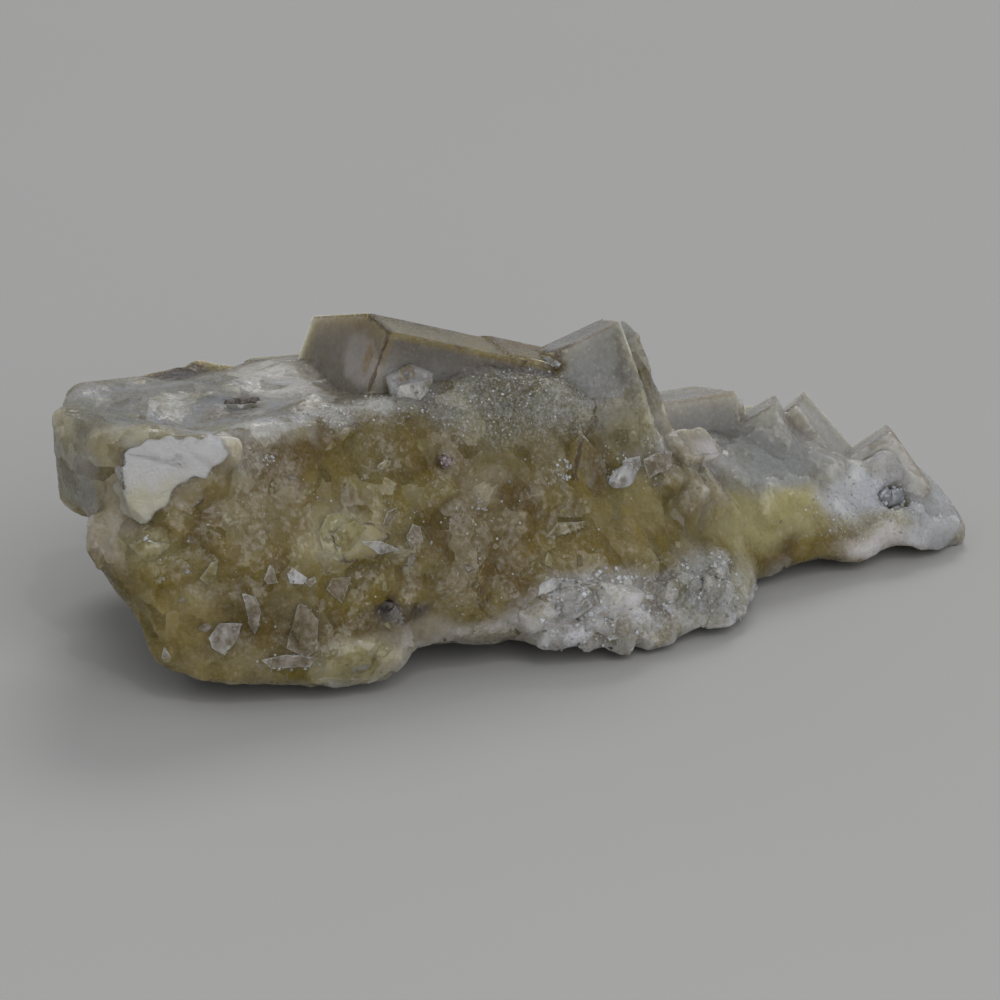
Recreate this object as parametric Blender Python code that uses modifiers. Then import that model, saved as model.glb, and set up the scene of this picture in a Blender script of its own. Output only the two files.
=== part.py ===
"""Fluorite with pyrite: a broken plate of fluorite crystals grown together, with pyrite grains.

The plate lies on its rough underside. X runs along its length, its broken face looks
along -Y, and the crystals point up, along +Z. The origin is in the middle flat patch
of the underside. Sizes and places are in millimetres unless a name says otherwise.
"""
import math
import random

import bmesh
import bpy
from mathutils import Euler, Matrix, Vector

MM = 0.001

# Driving dimensions
GRAIN_GAP = 0.3            # clearance between a pyrite grain and its pocket
FINE_CELL = 0.8            # cell size at which the plate's surface is broken up
SURFACE_CELL = 1.25        # cell size of the broken surface that is kept
KEPT_SHARE = 0.42          # share of the surface's triangles kept after thinning out
LUMP_SIZE = 9.0
LUMP_HEIGHT = 1.6
CHIP_SIZE = 5.5
CHIP_DEPTH = 2.0
CUTTER_REACH = 60.0
STEP_COUNT = 44            # cleavage fragments that stand out of the broken face
STEP_SEED = 11
STEPS_FROM = -31.0
STEPS_TO = 36.0
STEPS_SMALL_FROM = 17.0    # beyond this the plate is thin and its fragments are smaller
STEP_HEIGHTS = (0.2, 0.9)
LATTICE_TURNS = ((38, 30, 20), (-35, 40, -15), (15, -38, 40))

# Cross-sections of the plate from left to right: X, then (Y, Z) of the foot, the belly,
# the rim, the crest, the back and the heel.
SECTIONS = (
    (-42.0, ((-12.5, 2.6), (-13.0, 13.0), (-10.0, 22.0), (4.0, 21.6), (9.0, 11.0), (8.0, 0.6))),
    (-34.0, ((-14.2, 1.8), (-14.0, 12.0), (-11.0, 21.8), (5.0, 20.8), (12.0, 11.0), (12.0, 0.4))),
    (-28.0, ((-16.6, 2.2), (-15.4, 11.5), (-11.6, 21.0), (5.5, 20.0), (13.5, 11.0), (14.0, 0.2))),
    (-21.0, ((-18.4, 1.3), (-16.2, 11.0), (-11.2, 20.6), (6.0, 19.4), (14.5, 10.5), (15.0, 0.2))),
    (-17.0, ((-19.0, 0.9), (-16.4, 10.5), (-10.4, 20.8), (6.0, 19.2), (15.0, 10.0), (15.0, 0.2))),
    (-12.5, ((-18.6, 2.9), (-16.2, 10.0), (-10.0, 22.0), (6.0, 19.0), (15.0, 10.0), (15.0, 0.2))),
    (-2.0, ((-19.2, 2.1), (-16.0, 9.5), (-9.6, 22.0), (6.0, 18.0), (14.5, 9.5), (15.0, 0.2))),
    (5.0, ((-19.6, 0.7), (-15.2, 9.0), (-8.8, 19.4), (6.0, 16.5), (13.5, 9.0), (14.0, 0.2))),
    (11.0, ((-18.8, 1.0), (-13.8, 8.0), (-7.8, 15.0), (6.0, 14.0), (12.5, 8.0), (12.5, 0.2))),
    (15.8, ((-18.0, 0.1), (-12.4, 7.0), (-6.6, 12.6), (6.0, 12.0), (11.5, 7.0), (11.5, 0.2))),
    (19.2, ((-11.6, 0.8), (-10.2, 6.0), (-5.4, 11.6), (6.0, 10.6), (10.5, 6.0), (10.5, 0.2))),
    (26.0, ((-11.0, 2.0), (-9.2, 6.0), (-4.8, 10.2), (5.0, 9.0), (9.0, 5.0), (9.0, 0.2))),
    (32.0, ((-11.0, 1.2), (-8.6, 5.2), (-4.8, 8.0), (4.0, 7.0), (7.5, 4.0), (7.5, 0.2))),
    (37.0, ((-10.6, 0.0), (-8.4, 4.2), (-5.4, 6.4), (0.0, 5.4), (4.0, 3.0), (4.0, 0.2))),
    (41.2, ((-8.6, -0.3), (-8.0, 1.8), (-7.0, 2.8), (-4.6, 2.6), (-3.6, 1.6), (-3.6, 0.0))),
)
UNDERSIDE_DEPTH = -0.2


def clear_scene():
    for found in list(bpy.data.objects):
        bpy.data.objects.remove(found, do_unlink=True)


def new_collection(name):
    collection = bpy.data.collections.new(name)
    bpy.context.scene.collection.children.link(collection)
    return collection


def new_material(name, colour, roughness, metallic=0.0, transmission=0.0, ior=1.5):
    material = bpy.data.materials.new(name)
    material.use_nodes = True
    shader = material.node_tree.nodes["Principled BSDF"]
    shader.inputs["Base Color"].default_value = (*colour, 1.0)
    shader.inputs["Roughness"].default_value = roughness
    shader.inputs["Metallic"].default_value = metallic
    shader.inputs["Transmission Weight"].default_value = transmission
    shader.inputs["IOR"].default_value = ior
    return material


def new_object(name, body, collection, material=None):
    mesh = bpy.data.meshes.new(name)
    body.to_mesh(mesh)
    body.free()
    made = bpy.data.objects.new(name, mesh)
    collection.objects.link(made)
    if material:
        mesh.materials.append(material)
    return made


def turn_matrix(turn):
    """Rotation from a lean to the right, a lean to the back and a spin about the upright."""
    lean_right, lean_back, spin = (math.radians(angle) for angle in turn)
    return Euler((-lean_back, lean_right, spin), "XYZ").to_matrix().to_4x4()


def box_matrix(size, place, turn, anchor):
    """Where a unit box goes for its anchored corner, edge, face or middle to lie at the place."""
    rotation = turn_matrix(turn)
    offset = Vector(side * length / 2 for side, length in zip(anchor, size))
    return Matrix.Scale(MM, 4) @ Matrix.Translation(Vector(place) - rotation @ offset) @ rotation


def add_block(body, size, place, turn=(0, 0, 0), anchor=(0, 0, 0)):
    matrix = box_matrix(size, place, turn, anchor) @ Matrix.Diagonal((*size, 1.0))
    bmesh.ops.create_cube(body, size=1.0, matrix=matrix)


def cleave_back(body, size, depth, slope):
    """Split the top off a box behind a line at the given depth from its front face."""
    angle = math.radians(slope)
    line = Vector((0.0, depth - size[1] / 2, size[2] / 2))
    normal = Vector((0.0, math.sin(angle), math.cos(angle)))
    geometry = body.verts[:] + body.edges[:] + body.faces[:]
    bmesh.ops.bisect_plane(body, geom=geometry, dist=1e-6, plane_co=line, plane_no=normal, clear_outer=True)
    rim = [edge for edge in body.edges if edge.is_boundary]
    bmesh.ops.contextual_create(body, geom=rim)


def make_crystal(name, size, place, turn, anchor=(1, -1, 1), slopes=()):
    """A cube-like crystal; each slope is a (depth, angle) at which its top falls to the back."""
    body = bmesh.new()
    bmesh.ops.create_cube(body, size=1.0, matrix=Matrix.Diagonal((*size, 1.0)))
    for depth, slope in slopes:
        cleave_back(body, size, depth, slope)
    bmesh.ops.transform(body, matrix=box_matrix(size, place, turn, anchor), verts=body.verts)
    return new_object(name, body, growths)


def combine(target, operation, operands):
    modifier = target.modifiers.new(operation.title(), "BOOLEAN")
    modifier.operation = operation
    modifier.solver = "EXACT"
    modifier.operand_type = "COLLECTION"
    modifier.collection = operands


def make_plate():
    """Loft the cross-sections into one closed body."""
    body = bmesh.new()
    rings = []
    for x, outline in SECTIONS:
        keel_y = (outline[0][0] + outline[-1][0]) / 2
        points = (*outline, (keel_y, UNDERSIDE_DEPTH))
        rings.append([body.verts.new(Vector((x, y, z)) * MM) for y, z in points])
    for ring, following in zip(rings, rings[1:]):
        for index in range(len(ring)):
            after = (index + 1) % len(ring)
            body.faces.new((ring[index], ring[after], following[after], following[index]))
    body.faces.new(reversed(rings[0]))
    body.faces.new(rings[-1])
    bmesh.ops.recalc_face_normals(body, faces=body.faces)
    return new_object("fluorite", body, specimen, fluorite_material)


def add_remesh(target, cell):
    remesh = target.modifiers.new("Remesh", "REMESH")
    remesh.mode = "VOXEL"
    remesh.voxel_size = cell * MM


def add_displacement(target, kind, size, height, middle):
    texture = bpy.data.textures.new(kind.lower(), kind)
    texture.noise_scale = size * MM
    displace = target.modifiers.new(kind.title(), "DISPLACE")
    displace.texture = texture
    displace.texture_coords = "LOCAL"
    displace.strength = height * MM
    displace.mid_level = middle


def roughen(plate):
    """Break the smooth loft up into a crystalline fracture surface."""
    add_remesh(plate, FINE_CELL)
    add_displacement(plate, "CLOUDS", LUMP_SIZE, LUMP_HEIGHT, 0.5)
    add_displacement(plate, "VORONOI", CHIP_SIZE, -CHIP_DEPTH, 0.42)
    add_remesh(plate, SURFACE_CELL)
    thin = plate.modifiers.new("Thin out", "DECIMATE")
    thin.ratio = KEPT_SHARE


def plane_cutter(name, collection, corner, along, down, thickness=CUTTER_REACH):
    """A slab that removes what lies beyond the face running from the corner along and down."""
    corner = Vector(corner)
    along = Vector(along).normalized()
    down = Vector(down).normalized()
    outward = along.cross(down).normalized()
    body = bmesh.new()
    for depth in (0.0, thickness):
        for run in (-CUTTER_REACH, CUTTER_REACH):
            for drop in (0.0, CUTTER_REACH):
                point = corner + along * run + down * drop + outward * depth
                body.verts.new(point * MM)
    bmesh.ops.convex_hull(body, input=body.verts[:])
    return new_object(name, body, collection)


def make_end_cutters():
    """The left end: a nearly flat end face above an undercut that slants back and down."""
    plane_cutter("end_face", end_cutters, (-36.6, -6.0, 50.0), (-0.30, 1.0, 0.0), (0.0, 0.0, -1.0))
    plane_cutter("end_back", end_cutters, (-37.4, -2.6, 50.0), (0.62, 1.0, 0.0), (0.0, 0.0, -1.0))
    plane_cutter("undercut", end_cutters, (-37.4, -9.8, 13.6), (0.58, 1.0, 0.0), (3.8, -3.4, -12.0))


def make_crest_crystals():
    """The largest crystals, which stand on the crest above the broken face."""
    falling = ((4.0, 22), (11.4, 55))
    make_crystal("dark_cube", (12.6, 12.8, 12.0), (-11.4, -8.0, 25.7), (19, -4, 0), (-1, -1, 1), falling)
    make_crystal("dark_cube_step", (6.0, 15.0, 10.0), (4.3, -7.8, 20.5), (19, -4, 0), slopes=falling)
    make_crystal("peaked_cube", (6.2, 9.0, 13.0), (8.2, -8.0, 23.8), (-16, 14, 2), slopes=((3.4, 32),))
    make_crystal("peaked_cube_side", (6.0, 8.5, 14.0), (10.8, -6.0, 22.8), (-15, 12, 2), slopes=((2.6, 34),))
    make_crystal("step_cube", (8.0, 8.0, 8.0), (21.4, -2.6, 14.5), (-1, 14, 0))
    make_crystal("step_cube_side", (4.0, 6.0, 6.0), (22.6, -1.6, 13.3), (-10, 14, 0))
    make_crystal("roof_cube", (7.0, 7.0, 7.0), (24.0, -4.0, 13.4), (-31, 14, -22))
    make_crystal("roof_cube_back", (7.5, 7.5, 7.5), (27.6, -1.0, 12.0), (-42, 14, -25))
    make_crystal("end_cube", (6.0, 6.0, 6.0), (34.4, -5.0, 10.1), (-33, 18, -15))
    make_crystal("pale_cube", (6.5, 5.0, 5.0), (-14.6, 3.0, 19.9), (-8, 5, 10))
    make_crystal("far_cube", (4.0, 4.0, 4.0), (-20.9, 6.6, 19.3), (-12, 5, 15))


def make_flake(name, outline, place, turn, thickness):
    """A flat cleavage flake: an outline of (right, up) points in its own face, then a thickness."""
    body = bmesh.new()
    face = body.faces.new([body.verts.new((right, -0.5 * thickness, up)) for right, up in outline])
    grown = bmesh.ops.extrude_face_region(body, geom=[face])
    moved = [item for item in grown["geom"] if isinstance(item, bmesh.types.BMVert)]
    bmesh.ops.translate(body, verts=moved, vec=(0.0, thickness, 0.0))
    bmesh.ops.recalc_face_normals(body, faces=body.faces)
    matrix = Matrix.Scale(MM, 4) @ Matrix.Translation(place) @ turn_matrix(turn)
    bmesh.ops.transform(body, matrix=matrix, verts=body.verts)
    return new_object(name, body, growths)


def make_flakes():
    """Flat chips and steps that stand out of the broken face and the crest."""
    milky = ((-4.2, 2.0), (-1.7, 3.2), (5.4, 2.6), (5.6, 0.2), (3.9, -0.8), (2.1, -1.9),
             (0.0, -3.6), (-3.3, -3.4), (-4.3, -1.6))
    make_flake("milky_flake", milky, (-30.5, -11.9, 18.2), (0, 16, -12), 1.2)
    make_flake("rhomb_flake", ((-1.7, 0.4), (1.3, 1.1), (1.9, -0.4), (-0.4, -1.5)),
               (-33.0, -12.9, 13.4), (0, 4, -25), 1.0)
    make_flake("blade_flake", ((-0.9, 1.6), (0.8, 1.3), (0.9, -0.4), (0.1, -2.0)),
               (-26.2, -16.1, 7.9), (0, 2, -16), 1.0)
    make_flake("bright_flake", ((-1.5, -0.3), (0.2, 1.2), (1.6, 0.9), (0.8, -0.9), (-0.3, -1.6)),
               (-28.3, -15.2, 5.7), (0, 12, -20), 1.0)
    make_flake("foot_flake", ((-0.6, -0.8), (0.1, 0.8), (0.7, -0.7)), (-32.4, -13.8, 4.7), (0, 4, -40), 0.9)
    make_flake("pink_flake", ((-1.2, 2.2), (0.7, 2.4), (1.3, -1.2), (0.2, -2.3), (-1.0, -1.4)),
               (-22.4, -16.8, 6.2), (0, 8, -14), 1.0)
    make_flake("green_flake", ((-2.6, 1.4), (1.0, 1.8), (2.9, 0.2), (1.2, -1.6), (-2.0, -1.4)),
               (-17.2, -15.2, 11.8), (0, 20, 2), 1.0)
    make_flake("crest_flake", ((-2.2, 0.6), (0.2, 1.5), (2.2, 0.4), (1.0, -1.3), (-1.4, -1.2)),
               (-9.8, -8.3, 21.4), (0, 24, -8), 1.2)
    make_flake("long_flake", ((-1.6, -0.7), (-0.4, 0.9), (1.6, 1.0), (1.2, -0.2), (-0.9, -1.1)),
               (6.8, -11.8, 12.8), (-12, 24, -8), 1.4)
    make_flake("corner_flake", ((-1.6, 2.2), (1.2, 1.6), (1.6, -1.6), (-0.6, -2.6), (-1.8, -0.6)),
               (-35.4, -9.9, 13.2), (0, 4, -48), 1.2)


def face_point(x, rise):
    """A point of the broken face, from the foot at rise 0 through the belly to the rim at 1."""
    for (x_before, before), (x_after, after) in zip(SECTIONS, SECTIONS[1:]):
        if x_before <= x <= x_after:
            share = (x - x_before) / (x_after - x_before)
            foot, belly, rim = (Vector(before[k]).lerp(Vector(after[k]), share) for k in range(3))
            y, z = foot.lerp(belly, rise * 2) if rise < 0.5 else belly.lerp(rim, rise * 2 - 1)
            return Vector((x, y, z))
    raise ValueError("x lies beyond the plate")


def make_cleavage_steps():
    """Corners of cleavage fragments that all share nearly one lattice direction."""
    chance = random.Random(STEP_SEED)
    for index in range(STEP_COUNT):
        x = STEPS_FROM + (STEPS_TO - STEPS_FROM) * (index + chance.random()) / STEP_COUNT
        rise = chance.uniform(0.22, 0.9)
        edges = [chance.uniform(2.6, 6.0) * (1.0 if x < STEPS_SMALL_FROM else 0.7) for _ in range(3)]
        turn = [angle + chance.uniform(-9, 9) for angle in chance.choice(LATTICE_TURNS)]
        lattice = turn_matrix(turn)
        reach = sum(abs(lattice[1][axis]) * edges[axis] / 2 for axis in range(3))
        place = face_point(x, rise) + Vector((0.0, reach - chance.uniform(*STEP_HEIGHTS), 0.0))
        make_crystal(f"cleavage_step_{index}", edges, place, turn, anchor=(0, 0, 0))


def make_blocky_crust(name, path, count, size, seed):
    """Small cubes grown side by side along a path on the surface."""
    chance = random.Random(seed)
    stretches = len(path) - 1
    for index in range(count):
        along = index / max(count - 1, 1) * stretches
        step = min(int(along), stretches - 1)
        place = Vector(path[step]).lerp(Vector(path[step + 1]), along - step)
        place += Vector(chance.uniform(-0.5, 0.5) * reach for reach in (1.0, 0.6, 1.6))
        edges = [size * chance.uniform(0.75, 1.3) for _ in range(3)]
        turn = [chance.uniform(-30, 30) for _ in range(3)]
        make_crystal(f"{name}_{index}", edges, place, turn, anchor=(0, 0, 0))


def make_crusts():
    """Granular crusts along the foot of the broken face, and the crystals of the hidden back."""
    make_blocky_crust("foot_crust", ((-3.0, -17.2, 4.6), (0.8, -17.6, 4.6), (5.0, -17.6, 3.8)), 9, 2.4, 3)
    make_blocky_crust("foot_crust_low", ((-2.0, -18.2, 3.1), (4.0, -18.4, 2.5)), 6, 2.0, 8)
    make_blocky_crust("grey_band", ((8.6, -16.2, 3.4), (12.0, -15.4, 3.8), (14.6, -13.4, 4.8)), 7, 2.3, 5)
    make_blocky_crust("pale_lobe", ((-20.4, -17.0, 3.4), (-17.2, -17.4, 3.6)), 4, 2.2, 13)
    make_blocky_crust("tip_crust", ((28.0, -7.6, 4.0), (33.0, -8.2, 3.2), (37.2, -7.8, 2.2)), 8, 2.0, 21)
    make_blocky_crust("crest_crust", ((26.6, -5.2, 8.0), (31.2, -5.2, 6.4)), 4, 2.2, 35)
    make_crystal("resting_lump", (9.0, 7.0, 5.0), (0.0, 0.0, -0.4), (0, 0, 25), anchor=(0, 0, -1))
    make_blocky_crust("back_cubes", ((-22.0, 11.2, 11.0), (0.0, 12.6, 8.0), (27.0, 7.4, 4.0)), 13, 6.2, 55)
    make_blocky_crust("back_cubes_low", ((-20.0, 12.8, 4.0), (4.0, 13.0, 3.4), (22.0, 9.0, 2.6)), 9, 4.4, 89)
    make_blocky_crust("crest_cubes", ((-24.0, 7.0, 16.4), (-6.0, 8.0, 16.0), (10.0, 6.0, 12.6)), 8, 4.6, 144)


def make_floor_cutter():
    """Flattens the lowest points of the underside, which the plate rests on."""
    body = bmesh.new()
    add_block(body, (120, 80, 20), (0, 0, 0), anchor=(0, 0, 1))
    new_object("floor", body, cutters)


def make_pyrite(name, place, cubes):
    """A grain of grown-together pyrite cubes, and the pocket that it sits in."""
    for grown, collection in ((0.0, specimen), (GRAIN_GAP, cutters)):
        label = name + "_pocket" if grown else name
        pieces = []
        for size, offset, turn in cubes:
            body = bmesh.new()
            edge = size + 2 * grown
            add_block(body, (edge, edge, edge), Vector(place) + Vector(offset), turn)
            pieces.append(new_object(label, body, grain_cubes if pieces else collection))
        first = pieces[0]
        if not grown:
            first.data.materials.append(pyrite_material)
        for piece in pieces[1:]:
            joint = first.modifiers.new("Join", "BOOLEAN")
            joint.operation = "UNION"
            joint.solver = "EXACT"
            joint.object = piece


clear_scene()
specimen = new_collection("fluorite_with_pyrite")
growths = new_collection("growths_joined_to_the_plate")
end_cutters = new_collection("end_cutters")
cutters = new_collection("cutters")
grain_cubes = new_collection("grain_cubes")

fluorite_material = new_material("fluorite_stone", (0.20, 0.18, 0.11), 0.35, transmission=0.4, ior=1.434)
pyrite_material = new_material("pyrite_metal", (0.16, 0.14, 0.11), 0.3, metallic=1.0)

plate = make_plate()
make_end_cutters()
combine(plate, "DIFFERENCE", end_cutters)
roughen(plate)
make_crest_crystals()
make_flakes()
make_cleavage_steps()
make_crusts()
make_floor_cutter()
combine(plate, "UNION", growths)

make_pyrite("pyrite_front_streak", (-14.7, -15.9, 6.4), (
    (0.9, (0.0, 0.0, 0.0), (10, 20, 30)),
    (0.8, (-0.7, -0.1, 0.5), (40, 0, 10)),
    (0.7, (0.7, 0.0, -0.4), (15, 35, 50))))
make_pyrite("pyrite_right_spot", (33.6, -7.0, 4.9), (
    (1.5, (0.0, 0.0, 0.0), (10, 20, 30)),
    (1.2, (-0.9, -0.1, 0.4), (40, 0, 10)),
    (1.0, (0.4, 0.0, -0.8), (20, 15, 60))))
make_pyrite("pyrite_upper_speck", (-9.2, -13.0, 16.5), ((0.9, (0, 0, 0), (25, 20, 30)),))
make_pyrite("pyrite_crest_sliver", (-22.2, -4.6, 20.6), (
    (1.0, (0.0, 0.0, 0.0), (12, 10, 20)),
    (0.8, (-0.8, 0.1, 0.1), (30, 10, 45)),
    (0.7, (0.7, -0.1, 0.0), (8, 35, 10))))
combine(plate, "DIFFERENCE", cutters)

for collection in (growths, end_cutters, cutters, grain_cubes):
    for cutter in collection.objects:
        cutter.hide_render = True
        cutter.display_type = "WIRE"
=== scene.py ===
"""Looks of a fluorite specimen: a broken plate of grown-together crystals with grains of pyrite.

The plate's fine surface, its frosted druse and its pyrite grains are made around the CAD frame.
Sizes are in millimetres unless a name says otherwise, and places are in the CAD frame.
"""
import math

import bmesh
import bpy
import numpy as np
from mathutils import Euler, Matrix, Vector, kdtree, noise
from mathutils.bvhtree import BVHTree


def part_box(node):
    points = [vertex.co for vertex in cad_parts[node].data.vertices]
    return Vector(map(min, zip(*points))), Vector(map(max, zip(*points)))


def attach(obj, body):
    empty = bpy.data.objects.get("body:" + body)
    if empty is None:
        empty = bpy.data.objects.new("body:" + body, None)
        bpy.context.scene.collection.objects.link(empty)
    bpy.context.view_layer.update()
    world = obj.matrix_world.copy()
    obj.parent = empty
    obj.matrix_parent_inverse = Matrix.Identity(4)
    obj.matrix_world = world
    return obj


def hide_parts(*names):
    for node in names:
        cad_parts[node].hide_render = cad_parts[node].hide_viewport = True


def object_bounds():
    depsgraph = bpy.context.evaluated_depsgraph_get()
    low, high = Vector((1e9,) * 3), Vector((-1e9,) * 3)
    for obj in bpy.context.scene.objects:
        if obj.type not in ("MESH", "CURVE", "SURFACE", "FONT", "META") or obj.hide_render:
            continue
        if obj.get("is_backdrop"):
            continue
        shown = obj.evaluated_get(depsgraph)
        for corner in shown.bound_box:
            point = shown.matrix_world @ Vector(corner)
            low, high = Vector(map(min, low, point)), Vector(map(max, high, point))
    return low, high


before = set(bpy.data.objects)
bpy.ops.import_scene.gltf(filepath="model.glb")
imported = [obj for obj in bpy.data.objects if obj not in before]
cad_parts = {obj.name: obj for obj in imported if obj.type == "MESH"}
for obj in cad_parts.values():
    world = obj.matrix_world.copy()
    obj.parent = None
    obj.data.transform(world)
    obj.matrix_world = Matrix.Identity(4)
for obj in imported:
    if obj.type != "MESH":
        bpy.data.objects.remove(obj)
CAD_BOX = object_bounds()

MM = 0.001
FULL_TURN = 6.28
QUARTER_TURN = 1.57
FLUORITE_IOR = 1.434
GLASS_ROUGHNESS = 0.08
MIDDLE_COLOUR = (0.5, 0.5, 0.5)   # the middle of the random colours that tilt facets and specks

# View, light and floor
VIEW_AZIMUTH = -25.0
VIEW_ELEVATION = 20.0
VIEW_DISTANCE = 420.0
VIEW_TARGET = (-2.1, -8.0, 10.55)
VIEW_ANGLE = 10.61
FLOOR_SIZE = 4000.0
FLOOR_CLOUD_SIZE = 60.0
FLOOR_GREY = (0.415, 0.41, 0.402)
SKY_COLOUR = (0.94, 0.97, 1.0, 1.0)
SKY_STRENGTH = 0.42
# Lights: name, place, diameter, power in watts, colour
LIGHTS = (
    ("window", (260.0, 420.0, 620.0), 360.0, 1.6, (1.0, 0.99, 0.97)),
    ("lamp", (-120.0, -420.0, 520.0), 20.0, 0.22, (1.0, 1.0, 1.0)),
    ("room", (-60.0, -640.0, 420.0), 600.0, 2.6, (1.0, 1.0, 1.0)),
)

# The plate's fine surface
FINE_EDGE = 0.46          # longest triangle edge on the broken face and the crest
COARSE_EDGE = 0.95        # longest triangle edge on the back and the underside
BACK_Y = 6.0              # the back lies behind this
UNDERSIDE_SLOPE = -0.75   # a skin whose upward normal is less than this belongs to the underside
SPLIT_ROUNDS = 7          # how often long edges are split at most
RESTING_HEIGHT = 0.02     # below this the skin rests on the table and stays flat
FLAT_ANGLE = 1.5          # degrees within which neighbouring triangles are one crystal face
CRYSTAL_AREA = (7.0, 12.0)  # square millimetres at which a flat starts to be a crystal face, and is one
FACE_WOBBLE = 0.015       # height of the growth hillocks on a crystal face
GRAIN_HEIGHT = 0.045      # height of the broken surface's rough grain
SHARP_ANGLE = 26.0        # degrees from which an edge of the skin stays crisp
FULL_BEND = 0.06          # how far a point stands out of its neighbours, or sinks below them, where the edge wear, the painted highlight on ridges and the painted shade in hollows show fully
BOX_MARGIN = 0.01         # how far inside the solid's box the skin stays

# Noise on the skin: size of its largest lumps, octaves and seed
ROUGH_GRAIN = (1.6, 4, 3)
ZONE_CLOUDS = (5.5, 4, 7)
ZONE_BLOTCHES = (1.7, 3, 11)
EDGE_SHIFTS = ((2.6, 2, 13), (2.6, 2, 17), (2.6, 2, 19))
EDGE_REACH = 0.9          # how far the shifts move the edge of a patch

# The belly lies in front of this and right of this, between the foot crust and the crown
BELLY_FRONT_Y = -8.5
BELLY_LEFT_X = -33.5

# How often the skin is relaxed: all rough ground, melted places, the belly, and crystals right of an X
GROUND_ROUNDS = 7
MELT_ROUNDS = 60
BELLY_ROUNDS = 46
RIGHT_END_ROUNDS = 3
RIGHT_END_X = 13.0

# Cleavage facets of the broken ground: spacing, greatest step and seed; and the turn of their lattice
LARGE_FACETS = (2.8, 0.22, 5)
SMALL_FACETS = (1.3, 0.07, 8)
CRUST_FACETS = (1.1, 0.22, 12)
LATTICE_TURN = (0.5, 0.6, 0.35)
FACET_DENSITY = 0.1       # facets for each point of the skin, at a spacing of 1
FACET_STRETCH = (1.0, 1.25, 0.8)
FACET_SCATTER = 0.18      # how far chance turns the skin's direction before a facet takes its plane
FACET_LEAN = 0.9          # how much of the skin's own direction a facet keeps
FACET_TILT = 0.05         # how far chance tilts its plane

# Where soft ellipsoids start to show and show wholly, as shares of their radii
MELT_RIM = (1.3, 0.7)
PATCH_RIM = (1.45, 0.55)
GRANULAR_RIM = (1.35, 0.65)

# Height at which the honey core gives way to the grey crown, and the foot crust to the core, along X
CROWN_LINE = ((-38, 20.2), (-20, 19.9), (-10, 19.0), (-3, 17.4), (5, 15.6), (10, 13.0), (16, 9.2),
              (23, 7.6), (30, 4.8), (40, 2.5))
FOOT_LINE = ((-38, 0.9), (-22, 1.6), (-14, 4.0), (-6, 4.6), (2, 6.2), (8, 5.4), (15, 4.2), (20, 1.0),
             (40, 0.6))

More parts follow.
